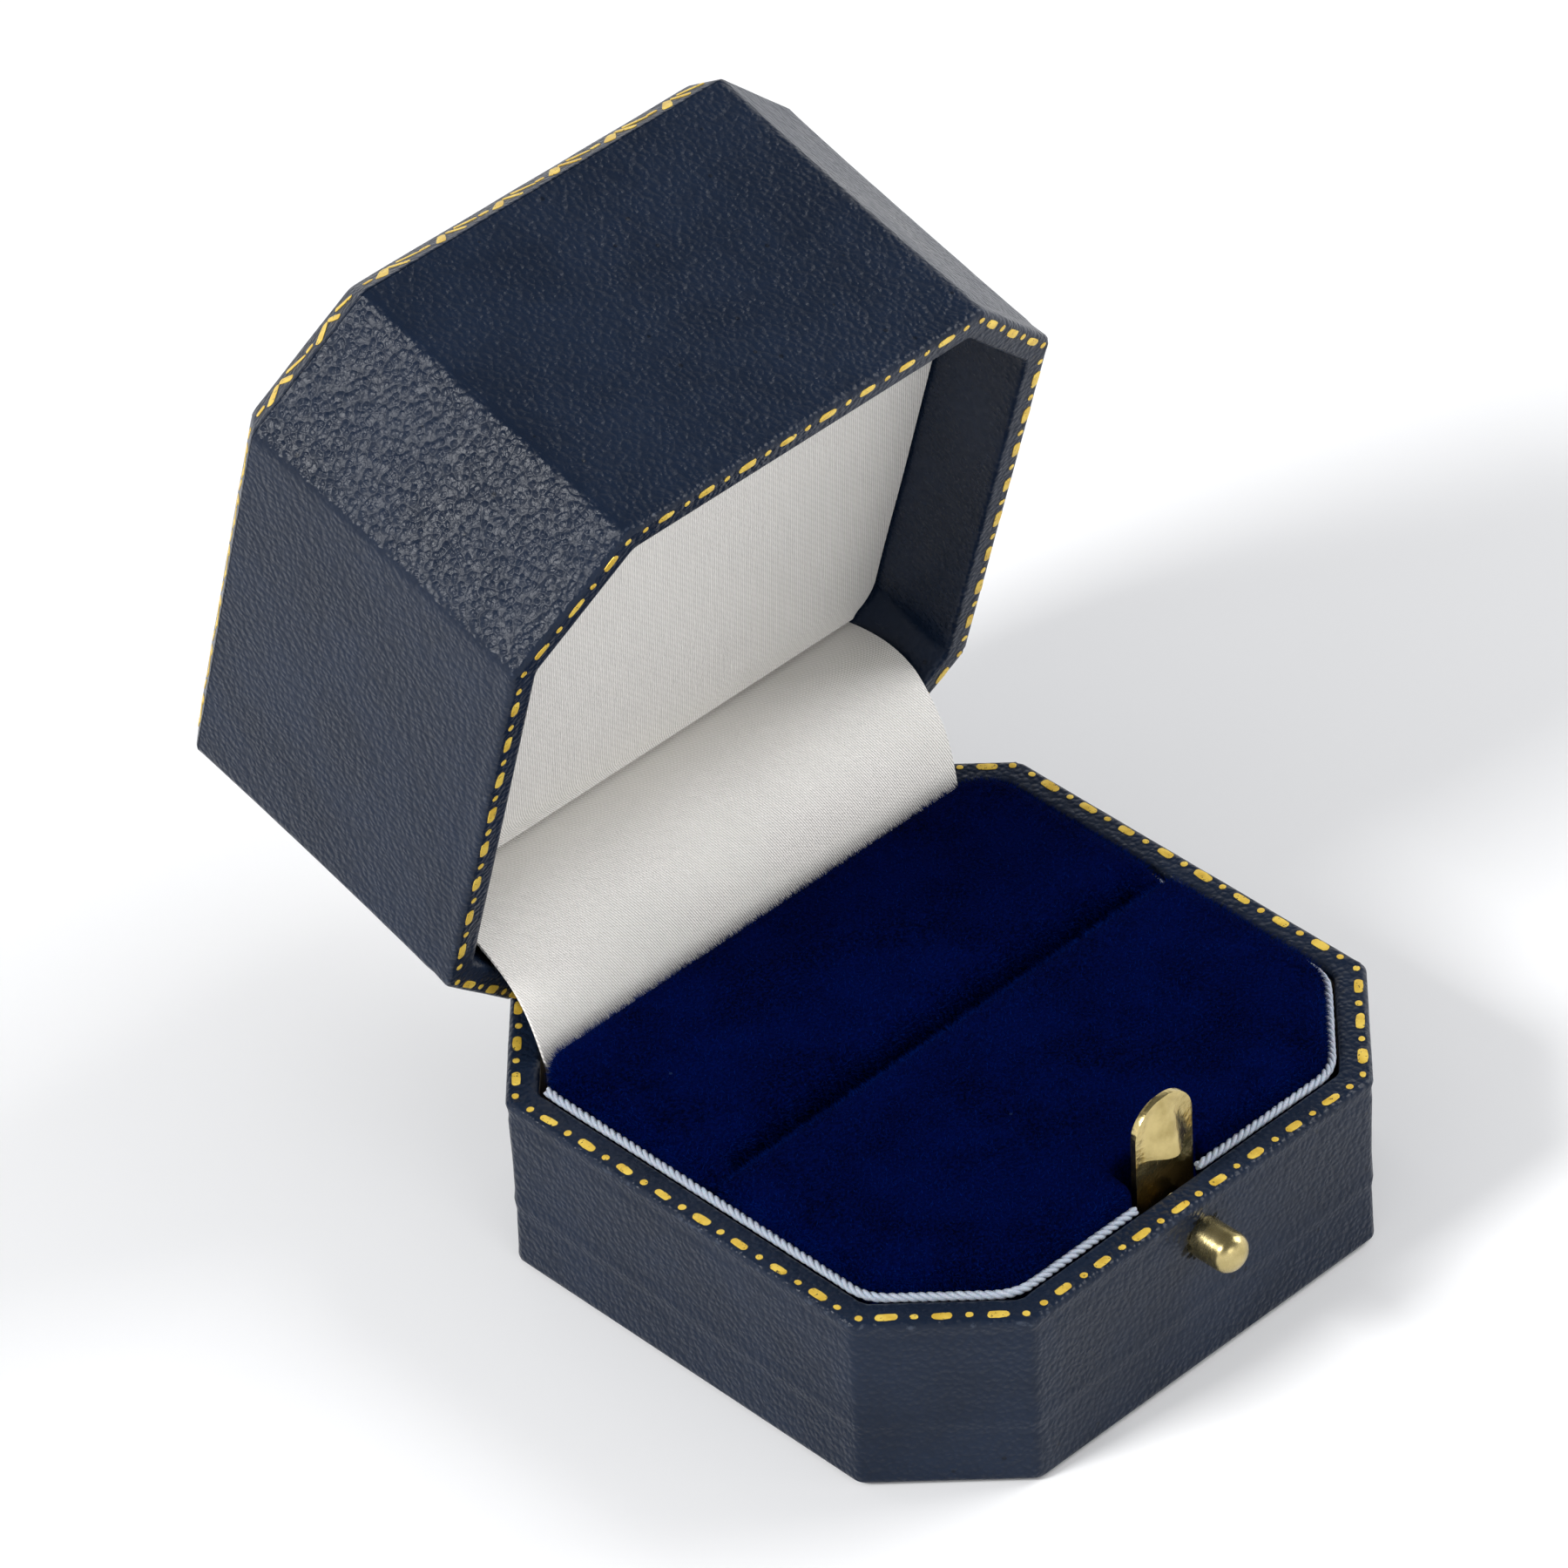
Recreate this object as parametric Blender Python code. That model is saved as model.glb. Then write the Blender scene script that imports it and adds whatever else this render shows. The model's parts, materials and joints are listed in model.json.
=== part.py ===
"""An eight-sided ring box in the antique style, with its lid open.

A shallow padded base and a tall lid, both card shells covered in leatherette, are joined by a
small five-knuckle brass butt hinge in the back edge. A brass spring tongue stands inside the
front wall and is pushed back by a round brass button, which frees the lid. The base holds two
velvet cushions with a slot between them for a ring, edged by a white cord. The lid is lined
with a satin-faced card on foam, and a satin flap runs from that card down behind the cushions.

Metres, +Z up. The origin is the middle of the underside, the button is on the -Y side and the
hinge on the +Y side. The lid is built closed and then turned open about the hinge.
"""
import math

import bmesh
import bpy
from mathutils import Matrix, Vector

MM = 0.001

# Outside of the box
WIDTH = 46.0 * MM
DEPTH = 46.4 * MM
CORNER_CUT = 7.9 * MM          # leg of each cut corner, along both sides
BASE_HEIGHT = 13.5 * MM
LID_HEIGHT = 25.5 * MM         # from the lid's rim to its top
TOP_BEVEL = 1.8 * MM           # sloping border round the lid's top
EDGE_ROUND = 0.9 * MM          # upright outside edges
INNER_ROUND = 3.0 * MM         # corners of the cushions, the cord and the lining card

# Walls
COVERING = 0.5 * MM            # leatherette
COVERING_GAP = 0.25 * MM       # between the leatherette and the shell under it
RIM_WIDTH = 2.1 * MM           # whole wall, seen on the rim
LID_RETURN = 0.4 * MM          # leatherette turned in behind the lid's rim
LID_RETURN_HEIGHT = 8.3 * MM
FLOOR = 1.0 * MM
RIM_GAP = 0.2 * MM             # between the two rims when shut
GAP = 0.3 * MM                 # between pieces that touch

# Underside
UNDERSIDE_THICKNESS = 0.7 * MM
UNDERSIDE_INSET = 1.6 * MM
COVERING_LIFT = 0.2 * MM       # leatherette off the table

# Lid hinge
LID_OPEN = math.radians(73.2)
LID_STOP = math.radians(75.2)  # the two bevelled back edges meet here
HINGE_INSET = 1.3 * MM         # axis from the back face
HINGE_RISE = 0.4 * MM          # axis above the base's rim
HINGE_LENGTH = 24.0 * MM
KNUCKLES = 5
KNUCKLE_RADIUS = 0.85 * MM
KNUCKLE_BORE = 0.5 * MM
KNUCKLE_GAP = 0.2 * MM
PIN_RADIUS = 0.32 * MM
LEAF_THICKNESS = 0.35 * MM
LEAF_HEIGHT = 4.8 * MM
LEAF_TUCK = 0.6 * MM           # edge of each leaf from the axis, up or down
STOP_CLEARANCE = 0.15 * MM
NAIL_SPACING = 16.0 * MM
NAIL_DROP = 3.0 * MM           # nails from the near edge of the leaf
NAIL_RADIUS = 0.3 * MM
NAIL_HEAD_RADIUS = 0.7 * MM
NAIL_HEAD = 0.25 * MM
NAIL_POINT_ROOM = 0.4 * MM     # nails shorter than the wall
NAIL_CLEARANCE = 0.2 * MM

# Cushions, cord and slot
PAD_TOP = 0.4 * MM             # cushions above the rim
PAD_EDGE = 0.8 * MM            # chamfer round the top of a cushion
CORD_RADIUS = 0.33 * MM
CORD_DROP = 0.15 * MM          # middle of the cord below the rim
CORD_CLEARANCE = 0.1 * MM
CORD_STOP = 2.0 * MM           # ends of the cord before the back of the cushions
SLOT_WIDTH = 1.6 * MM
SLOT_Y = -0.1 * MM
PAD_BACK_ROOM = 5.3 * MM       # from the rear cushion to the back wall
SLOT_LINING = 0.4 * MM

# Latch
LATCH_X = -0.3 * MM
BUTTON_DROP = 2.95 * MM        # button below the base's rim
BUTTON_RADIUS = 1.28 * MM
BUTTON_REACH = 3.2 * MM        # end of the button from the front face
BUTTON_DOME = 0.5 * MM
BUTTON_STROKE = 0.8 * MM
BUTTON_CLEARANCE = 0.17 * MM
BUSH_WALL = 0.3 * MM
COLLAR = 0.35 * MM
TONGUE_WIDTH = 5.0 * MM
TONGUE_THICKNESS = 0.45 * MM
TONGUE_TOP = 6.8 * MM          # above the base's rim
TONGUE_FRONT = 1.1 * MM        # front face of the tongue behind the wall's inner face
TONGUE_PIVOT_RISE = 2.0 * MM   # above the floor
TONGUE_FOOT_RISE = 1.3 * MM
LIP_Z = 3.2 * MM               # lower lip of the bump above the base's rim
LIP_REACH = 0.9 * MM
BUMP_WIDTH = 4.4 * MM
BUMP_HEIGHT = 3.3 * MM
BRACKET_RISE = 2.8 * MM        # top of the bracket above the floor
BRACKET_DEPTH = 1.7 * MM
BRACKET_THICKNESS = 0.4 * MM
RIVET_SPACING = 3.0 * MM
RIVET_RADIUS = 0.35 * MM
RIVET_HEAD_RADIUS = 0.65 * MM
NOTCH_SWING = 1.5 * MM         # room in the cushion for the tongue to be pushed back
CATCH_WIDTH = 6.0 * MM
CATCH_HEIGHT = 2.0 * MM
CATCH_THICKNESS = 0.25 * MM
CATCH_RISE = 0.9 * MM          # catch plate above the lid's rim

# Lining of the lid
LINING_DEPTH = 6.75 * MM       # satin face from the lid's rim
SATIN = 0.35 * MM
LINING_CARD = 1.0 * MM
LINING_CLEARANCE = 0.2 * MM
LINING_BACK_ROOM = 5.0 * MM    # from the crease where the flap starts to the back wall
FOAM_INSET = 6.0 * MM          # foam block from the lid's inner walls

# Flap
FLAP_CLEARANCE = 0.5 * MM      # from the cut back corners
FLAP_TUCK = 4.5 * MM           # foot of the flap below the rim
FLAP_STEPS = 18

# Values worked out from those above
LID_RIM_Z = BASE_HEIGHT + RIM_GAP
TOP_Z = LID_RIM_Z + LID_HEIGHT
HINGE_Y = DEPTH / 2 - HINGE_INSET
HINGE_Z = BASE_HEIGHT + HINGE_RISE
WALL_INNER_Y = DEPTH / 2 - RIM_WIDTH
PAD_BACK_Y = WALL_INNER_Y - PAD_BACK_ROOM
LINING_BACK_Y = WALL_INNER_Y - LINING_BACK_ROOM
SHELL_INSET = COVERING + COVERING_GAP
LID_WALL = RIM_WIDTH - LID_RETURN - COVERING_GAP - SHELL_INSET
NAIL_LENGTH = RIM_WIDTH - NAIL_POINT_ROOM
UNDERSIDE_TOP_Z = COVERING_LIFT + COVERING
SHELL_BOTTOM_Z = UNDERSIDE_TOP_Z + GAP
FLOOR_TOP_Z = SHELL_BOTTOM_Z + FLOOR
PAD_BOTTOM_Z = FLOOR_TOP_Z + GAP
PAD_TOP_Z = BASE_HEIGHT + PAD_TOP
CORD_INSET = RIM_WIDTH + CORD_CLEARANCE + CORD_RADIUS
PAD_INSET = CORD_INSET + CORD_RADIUS + CORD_CLEARANCE
BUTTON_Z = BASE_HEIGHT - BUTTON_DROP
BUSH_BORE = BUTTON_RADIUS + BUTTON_CLEARANCE
BUSH_RADIUS = BUSH_BORE + BUSH_WALL
COLLAR_RADIUS = BUSH_RADIUS
TONGUE_FRONT_Y = -WALL_INNER_Y + TONGUE_FRONT
TONGUE_BACK_Y = TONGUE_FRONT_Y + TONGUE_THICKNESS
TONGUE_TOP_Z = BASE_HEIGHT + TONGUE_TOP
LATCH_FLOOR_Z = FLOOR_TOP_Z + GAP
TONGUE_PIVOT_Z = FLOOR_TOP_Z + TONGUE_PIVOT_RISE
TONGUE_FOOT_Z = FLOOR_TOP_Z + TONGUE_FOOT_RISE
BRACKET_TOP_Z = FLOOR_TOP_Z + BRACKET_RISE
SATIN_Z = LID_RIM_Z + LINING_DEPTH
CARD_Z = SATIN_Z + SATIN + COVERING_GAP
FOAM_Z = CARD_Z + LINING_CARD + GAP
LEAF_Y = WALL_INNER_Y - GAP - LEAF_THICKNESS
REBATE_DEPTH = KNUCKLE_RADIUS + 0.4 * MM

COLOURS = {
    "leatherette": ((0.030, 0.043, 0.075), 0.50, 0.0),
    "board": ((0.32, 0.27, 0.20), 0.85, 0.0),
    "underside": ((0.05, 0.05, 0.06), 0.90, 0.0),
    "velvet": ((0.004, 0.012, 0.070), 0.95, 0.0),
    "satin": ((0.80, 0.79, 0.77), 0.35, 0.0),
    "cord": ((0.75, 0.77, 0.80), 0.60, 0.0),
    "foam": ((0.70, 0.68, 0.60), 0.95, 0.0),
    "brass": ((0.70, 0.56, 0.28), 0.28, 1.0),
}


def clear_scene():
    for old in list(bpy.data.objects):
        bpy.data.objects.remove(old, do_unlink=True)


def finish_for(kind):
    """The Principled material of one kind of stuff, made once."""
    found = bpy.data.materials.get(kind)
    if found:
        return found
    colour, roughness, metallic = COLOURS[kind]
    made = bpy.data.materials.new(kind)
    made.use_nodes = True
    shader = made.node_tree.nodes["Principled BSDF"]
    shader.inputs["Base Color"].default_value = (*colour, 1.0)
    shader.inputs["Roughness"].default_value = roughness
    shader.inputs["Metallic"].default_value = metallic
    return made


# ---------------------------------------------------------------- outlines

def round_corners(corners, radius, steps):
    """Replace each corner of a polygon, anticlockwise, by an arc of the given radius."""
    points = []
    count = len(corners)
    for i, corner in enumerate(corners):
        back = (corners[i - 1] - corner).normalized()
        ahead = (corners[(i + 1) % count] - corner).normalized()
        half = back.angle(ahead) / 2
        middle = corner + (back + ahead).normalized() * (radius / math.sin(half))
        first = corner + back * (radius / math.tan(half))
        turn = math.pi - 2 * half
        for step in range(steps + 1):
            arm = Matrix.Rotation(turn * step / steps, 2) @ (first - middle)
            points.append(middle + arm)
    return points


def octagon(inset):
    """The box's eight corners, anticlockwise, moved in from the outside face."""
    x = WIDTH / 2 - inset
    y = DEPTH / 2 - inset
    cut = CORNER_CUT - inset * (2 - math.sqrt(2))
    return [Vector(p) for p in (
        (x, -y + cut), (x, y - cut), (x - cut, y), (-x + cut, y),
        (-x, y - cut), (-x, -y + cut), (-x + cut, -y), (x - cut, -y))]


def outline(inset, radius=None, steps=3):
    """The octagon at an inset, with rounded corners."""
    if radius is None:
        radius = max(EDGE_ROUND - inset, 0.25 * MM)
    return round_corners(octagon(inset), radius, steps)


def clip_y(points, low, high):
    """Keep the part of a convex outline with low <= y <= high."""
    for limit, sign in ((low, 1), (high, -1)):
        kept = []
        for i, here in enumerate(points):
            before = points[i - 1]
            inside = sign * (here.y - limit) >= 0
            was_inside = sign * (before.y - limit) >= 0
            if inside != was_inside:
                share = (limit - before.y) / (here.y - before.y)
                kept.append(before.lerp(here, share))
            if inside:
                kept.append(here)
        points = kept
    return points


# ---------------------------------------------------------------- solids

def add_object(name, mesh_maker, kind="board"):
    """Make an object from a bmesh, with outward faces and its own material."""
    mesh = bpy.data.meshes.new(name)
    bmesh.ops.recalc_face_normals(mesh_maker, faces=mesh_maker.faces)
    mesh_maker.to_mesh(mesh)
    mesh_maker.free()
    made = bpy.data.objects.new(name, mesh)
    bpy.context.scene.collection.objects.link(made)
    made.data.materials.append(finish_for(kind))
    return made


def loft(name, loops, kind="board"):
    """A closed solid through loops of equal length, with flat ends."""
    work = bmesh.new()
    rings = [[work.verts.new(p) for p in loop] for loop in loops]
    for low, high in zip(rings, rings[1:]):
        for i in range(len(low)):
            j = (i + 1) % len(low)
            work.faces.new((low[i], low[j], high[j], high[i]))
    work.faces.new(list(reversed(rings[0])))
    work.faces.new(rings[-1])
    return add_object(name, work, kind)


def prism(name, points, low, high, kind="board"):
    """An outline in XY, carried up from one height to another."""
    return loft(name, [[(p.x, p.y, z) for p in points] for z in (low, high)], kind)


def box(name, low, high, kind="board"):
    corners = [Vector(p) for p in (
        (low[0], low[1]), (high[0], low[1]), (high[0], high[1]), (low[0], high[1]))]
    return prism(name, corners, low[2], high[2], kind)


def bevelled_block(name, inset, low):
    """The lid's outside form moved in by an inset, from a low height to its bevelled top."""
    knee = TOP_BEVEL + inset * (math.sqrt(2) - 1)
    levels = (
        (outline(inset), low),
        (outline(inset), TOP_Z - knee),
        (outline(knee, max(EDGE_ROUND - inset, 0.25 * MM)), TOP_Z - inset))
    return loft(name, [[(p.x, p.y, z) for p in points] for points, z in levels])


def turned(name, profile, centre, axis, kind="brass", sides=24):
    """A turned solid: profile holds (radius, distance along the axis), from end to end."""
    place = Matrix.Translation(centre) @ Vector((0, 0, 1)).rotation_difference(
        Vector(axis)).to_matrix().to_4x4()
    loops = []
    for radius, along in profile:
        loops.append([
            place @ Vector((radius * math.cos(a), radius * math.sin(a), along))
            for a in (2 * math.pi * i / sides for i in range(sides))])
    made = loft(name, loops, kind)
    made.data.shade_smooth()
    made.data.set_sharp_from_angle(angle=math.radians(35))
    return made


def rod(name, radius, start, end, kind="brass", sides=24):
    """A plain round bar between two points."""
    run = Vector(end) - Vector(start)
    return turned(name, [(radius, 0), (radius, run.length)], start, run, kind, sides)


def swept_cord(name, path, radius, kind="cord", sides=8):
    """A round cord along a level path."""
    loops = []
    for i, here in enumerate(path):
        ahead = path[min(i + 1, len(path) - 1)] - path[max(i - 1, 0)]
        side = Vector((ahead.y, -ahead.x, 0)).normalized()
        loops.append([
            here + side * radius * math.cos(a) + Vector((0, 0, radius * math.sin(a)))
            for a in (2 * math.pi * s / sides for s in range(sides))])
    made = loft(name, loops, kind)
    made.data.shade_smooth()
    made.data.set_sharp_from_angle(angle=math.radians(50))
    return made


def combine(target, tool, operation):
    """Boolean one solid with another, which is used up."""
    change = target.modifiers.new(operation, "BOOLEAN")
    change.operation = operation
    change.solver = "EXACT"
    change.object = tool
    bpy.context.view_layer.objects.active = target
    bpy.ops.object.modifier_apply(modifier=change.name)
    bpy.data.objects.remove(tool, do_unlink=True)
    return target


def cut(target, *tools):
    for tool in tools:
        combine(target, tool, "DIFFERENCE")
    return target


def join(target, *tools):
    for tool in tools:
        combine(target, tool, "UNION")
    return target


def set_kind(made, kind):
    made.data.materials.clear()
    made.data.materials.append(finish_for(kind))
    return made


# ---------------------------------------------------------------- cutters

def back_edge_wedge(side, depth):
    """What is taken off a back edge so that the lid can lean back to its stop.

    side is -1 for the base and 1 for the lid, and depth moves the cut into the wall.
    """
    slope = math.tan(LID_STOP / 2)
    drop = (STOP_CLEARANCE + depth) / math.cos(LID_STOP / 2)
    near = -HINGE_INSET / 2
    far = 3 * HINGE_INSET
    profile = [
        (near, -near * slope - drop),
        (far, -far * slope - drop),
        (far, far),
        (near, far)]
    loops = []
    for x in (-WIDTH, WIDTH):
        loops.append([
            (x, HINGE_Y + y, HINGE_Z - side * z) for y, z in profile])
    return loft("wedge", loops)


def hinge_rebate(low, high):
    """A level notch in a back wall that leaves room for the hinge."""
    half = HINGE_LENGTH / 2 + GAP
    return box("rebate", (-half, WALL_INNER_Y - RIM_WIDTH, low), (half, DEPTH, high))


def nail_hole(x, z):
    radius = NAIL_RADIUS + NAIL_CLEARANCE
    return rod("hole", radius, (x, LEAF_Y - GAP, z), (x, DEPTH / 2 - COVERING, z))


def nail_places():
    """The nails' names, x and z: two in each leaf."""
    for leaf, side in (("base", -1), ("lid", 1)):
        for hand, x in (("left", -NAIL_SPACING / 2), ("right", NAIL_SPACING / 2)):
            yield leaf, hand, x, HINGE_Z + side * (LEAF_TUCK + NAIL_DROP)


def holes_for(leaf_name):
    return [nail_hole(x, z) for leaf, _, x, z in nail_places() if leaf == leaf_name]


def front_hole(radius):
    """A round hole for the button through the front wall."""
    return rod("hole", radius, (LATCH_X, -DEPTH / 2 - GAP, BUTTON_Z),
               (LATCH_X, -WALL_INNER_Y + GAP, BUTTON_Z))


# ---------------------------------------------------------------- the base

def make_base_shell():
    made = prism("base_shell", outline(SHELL_INSET), SHELL_BOTTOM_Z,
                 BASE_HEIGHT - COVERING - COVERING_GAP, "board")
    cut(made,
        back_edge_wedge(-1, SHELL_INSET),
        prism("hollow", outline(RIM_WIDTH), FLOOR_TOP_Z, TOP_Z),
        hinge_rebate(HINGE_Z - REBATE_DEPTH, TOP_Z),
        front_hole(BUSH_RADIUS + NAIL_CLEARANCE),
        *holes_for("base"))
    for x in rivet_places():
        cut(made, rod("hole", RIVET_RADIUS + NAIL_CLEARANCE,
                      (x, rivet_y(), 0), (x, rivet_y(), BASE_HEIGHT)))
    return set_kind(made, "board")


def make_base_covering():
    made = prism("base_covering", outline(0), COVERING_LIFT, BASE_HEIGHT)
    cut(made, back_edge_wedge(-1, 0))
    core = prism("core", outline(COVERING), UNDERSIDE_TOP_Z, BASE_HEIGHT - COVERING)
    cut(core, back_edge_wedge(-1, COVERING))
    cut(made,
        core,
        prism("mouth", outline(RIM_WIDTH), BASE_HEIGHT / 2, TOP_Z),
        prism("bottom", outline(UNDERSIDE_INSET - GAP), -BASE_HEIGHT, BASE_HEIGHT / 2),
        hinge_rebate(HINGE_Z - REBATE_DEPTH, TOP_Z),
        front_hole(BUSH_BORE + 0.05 * MM))
    return set_kind(made, "leatherette")


def make_base_underside():
    return prism("base_underside", outline(UNDERSIDE_INSET), 0, UNDERSIDE_THICKNESS, "underside")


def cushion(name, front, back):
    """A velvet cushion as a plain block with a chamfered top edge."""
    levels = (
        (0, PAD_BOTTOM_Z),
        (0, PAD_TOP_Z - PAD_EDGE),
        (PAD_EDGE, PAD_TOP_Z))
    loops = []
    for shrink, z in levels:
        plan = outline(PAD_INSET + shrink, INNER_ROUND - shrink, 4)
        plan = clip_y(plan, front + shrink, back - shrink)
        loops.append([(p.x, p.y, z) for p in plan])
    return loft(name, loops, "velvet")


def make_front_cushion():
    made = cushion("front_cushion", -DEPTH, SLOT_Y - SLOT_WIDTH / 2)
    half = TONGUE_WIDTH / 2 + 2 * GAP
    back = TONGUE_BACK_Y + max(NOTCH_SWING, BRACKET_DEPTH) + GAP
    cut(made, box("notch", (LATCH_X - half, -DEPTH, 0), (LATCH_X + half, back, TOP_Z)))
    return set_kind(made, "velvet")


def make_rear_cushion():
    return cushion("rear_cushion", SLOT_Y + SLOT_WIDTH / 2, PAD_BACK_Y)


def make_slot_lining():
    half = WIDTH / 2 - PAD_INSET - GAP
    reach = SLOT_WIDTH / 2 - GAP
    return box("slot_lining", (-half, SLOT_Y - reach, PAD_BOTTOM_Z),
               (half, SLOT_Y + reach, PAD_BOTTOM_Z + SLOT_LINING), "velvet")


def make_edge_cord(name, hand):
    """The white cord beside the rim, from the back round to the tongue. hand: -1 left, 1 right."""
    z = BASE_HEIGHT - CORD_DROP
    stop = hand * LATCH_X + TONGUE_WIDTH / 2 + GAP
    around = outline(CORD_INSET, INNER_ROUND + CORD_RADIUS + CORD_CLEARANCE, 4)
    side = [p for p in clip_y(around, -DEPTH, PAD_BACK_Y - CORD_STOP) if p.x > stop]
    side.sort(key=lambda p: (p.y, p.x))
    side.insert(0, Vector((stop, side[0].y)))
    return swept_cord(name, [Vector((p.x * hand, p.y, z)) for p in side], CORD_RADIUS)


# ---------------------------------------------------------------- the latch

def rivet_places():
    return (LATCH_X - RIVET_SPACING / 2, LATCH_X + RIVET_SPACING / 2)


def rivet_y():
    return TONGUE_BACK_Y + GAP + BRACKET_THICKNESS + (BRACKET_DEPTH - BRACKET_THICKNESS) / 2


def make_latch_bracket():
    half = TONGUE_WIDTH / 2
    front = TONGUE_BACK_Y + GAP
    foot_top = LATCH_FLOOR_Z + BRACKET_THICKNESS
    made = box("latch_bracket", (LATCH_X - half, front, LATCH_FLOOR_Z),
               (LATCH_X + half, front + BRACKET_DEPTH, foot_top), "brass")
    join(made, box("upright", (LATCH_X - half, front, LATCH_FLOOR_Z),
                   (LATCH_X + half, front + BRACKET_THICKNESS, BRACKET_TOP_Z)))
    for x in rivet_places():
        cut(made, rod("hole", RIVET_RADIUS + NAIL_CLEARANCE,
                      (x, rivet_y(), 0), (x, rivet_y(), BRACKET_TOP_Z)))
    return set_kind(made, "brass")


def make_latch_rivet(name, x):
    seat = LATCH_FLOOR_Z + BRACKET_THICKNESS + NAIL_CLEARANCE
    profile = [
        (RIVET_RADIUS, SHELL_BOTTOM_Z),
        (RIVET_RADIUS, seat),
        (RIVET_HEAD_RADIUS, seat),
        (RIVET_HEAD_RADIUS * 0.9, seat + 0.2 * MM),
        (RIVET_HEAD_RADIUS * 0.5, seat + 0.3 * MM)]
    return turned(name, profile, (x, rivet_y(), 0), (0, 0, 1), "brass", 16)


def make_latch_tongue():
    """A flat strip with a round top, and a half-cone bump whose lower lip holds the lid."""
    half = TONGUE_WIDTH / 2
    shoulder = TONGUE_TOP_Z - half * 0.9
    face = [(half, TONGUE_FOOT_Z), (half, shoulder)]
    steps = 12
    for step in range(1, steps):
        turn = math.pi * step / steps
        face.append((half * math.cos(turn), shoulder + half * 0.9 * math.sin(turn)))
    face += [(-half, shoulder), (-half, TONGUE_FOOT_Z)]
    made = loft("latch_tongue", [
        [(LATCH_X + x, y, z) for x, z in face] for y in (TONGUE_BACK_Y, TONGUE_FRONT_Y)])
    lip = BASE_HEIGHT + LIP_Z
    loops = []
    levels = 6
    for level in range(levels + 1):
        share = level / levels
        wide = BUMP_WIDTH / 2 * math.sqrt(1 - 0.96 * share * share)
        reach = LIP_REACH * (1 - share) + 0.06 * MM
        if level == 0:
            reach = LIP_REACH
        ring = []
        for step in range(steps + 1):
            turn = math.pi * step / steps
            ring.append((LATCH_X - wide * math.cos(turn),
                         TONGUE_FRONT_Y - reach * math.sin(turn),
                         lip + BUMP_HEIGHT * share))
        ring.append((LATCH_X + wide * 0.9, TONGUE_FRONT_Y + 0.2 * MM, lip + BUMP_HEIGHT * share))
        ring.append((LATCH_X - wide * 0.9, TONGUE_FRONT_Y + 0.2 * MM, lip + BUMP_HEIGHT * share))
        loops.append(ring)
    join(made, loft("bump", loops))
    return set_kind(made, "brass")


def make_push_button():
    """Stem, domed outer end and the collar that keeps it behind the wall. It slides along Y."""
    end = BUTTON_REACH - BUTTON_DOME
    dome = []
    steps = 5
    for step in range(steps):
        turn = math.pi / 2 * step / steps
        dome.append((BUTTON_RADIUS * math.cos(turn), end + BUTTON_DOME * math.sin(turn)))
    inner = DEPTH / 2 + TONGUE_FRONT_Y - GAP
    profile = [
        (COLLAR_RADIUS, -inner),
        (COLLAR_RADIUS, -inner + COLLAR),
        (BUTTON_RADIUS, -inner + COLLAR)] + dome + [(0.12 * MM, BUTTON_REACH)]
    return turned("push_button", profile, (LATCH_X, -DEPTH / 2, BUTTON_Z), (0, -1, 0), "brass", 32)


def make_button_bush():
    front = -DEPTH / 2 + SHELL_INSET
    made = rod("button_bush", BUSH_RADIUS, (LATCH_X, front, BUTTON_Z),
               (LATCH_X, -WALL_INNER_Y - 0.05 * MM, BUTTON_Z))
    cut(made, rod("bore", BUSH_BORE, (LATCH_X, front - GAP, BUTTON_Z),
                  (LATCH_X, -WALL_INNER_Y + GAP, BUTTON_Z)))
    return set_kind(made, "brass")


# ---------------------------------------------------------------- the hinge

def make_hinge_leaf(name, side):
    """One leaf with its knuckles. side is -1 for the base's leaf and 1 for the lid's."""
    half = HINGE_LENGTH / 2
    near = HINGE_Z + side * LEAF_TUCK
    far = near + side * LEAF_HEIGHT
    inner = HINGE_Z + side * (LEAF_TUCK - LEAF_THICKNESS)
    made = box(name, (-half, LEAF_Y, min(near, far)),
               (half, LEAF_Y + LEAF_THICKNESS, max(near, far)), "brass")
    pitch = HINGE_LENGTH / KNUCKLES
    for i in range(KNUCKLES):
        if (i % 2 == 0) != (side == -1):
            continue
        left = -half + i * pitch + (KNUCKLE_GAP / 2 if i else 0)
        right = -half + (i + 1) * pitch - (KNUCKLE_GAP / 2 if i < KNUCKLES - 1 else 0)
        web_low = min(inner, near + side * 0.1 * MM)
        web_high = max(inner, near + side * 0.1 * MM)
        web_back = HINGE_Y - (KNUCKLE_RADIUS + KNUCKLE_BORE) / 2 + 0.05 * MM
        join(made,
             box("web", (left, LEAF_Y, web_low), (right, web_back, web_high)),
             rod("knuckle", KNUCKLE_RADIUS, (left, HINGE_Y, HINGE_Z), (right, HINGE_Y, HINGE_Z)))
    cut(made, rod("bore", KNUCKLE_BORE, (-WIDTH, HINGE_Y, HINGE_Z), (WIDTH, HINGE_Y, HINGE_Z)))
    cut(made, *holes_for("base" if side == -1 else "lid"))
    return set_kind(made, "brass")


def make_hinge_pin():
    half = HINGE_LENGTH / 2
    return rod("hinge_pin", PIN_RADIUS, (-half, HINGE_Y, HINGE_Z), (half, HINGE_Y, HINGE_Z))


def make_hinge_nail(name, x, z):
    """A short nail through a leaf into the wall behind it."""
    profile = [
        (NAIL_HEAD_RADIUS, -NAIL_HEAD),
        (NAIL_HEAD_RADIUS, 0),
        (NAIL_RADIUS, 0),
        (NAIL_RADIUS, NAIL_LENGTH)]
    return turned(name, profile, (x, LEAF_Y - NAIL_CLEARANCE, z), (0, 1, 0), "brass", 16)


# ---------------------------------------------------------------- the lid, built closed

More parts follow.
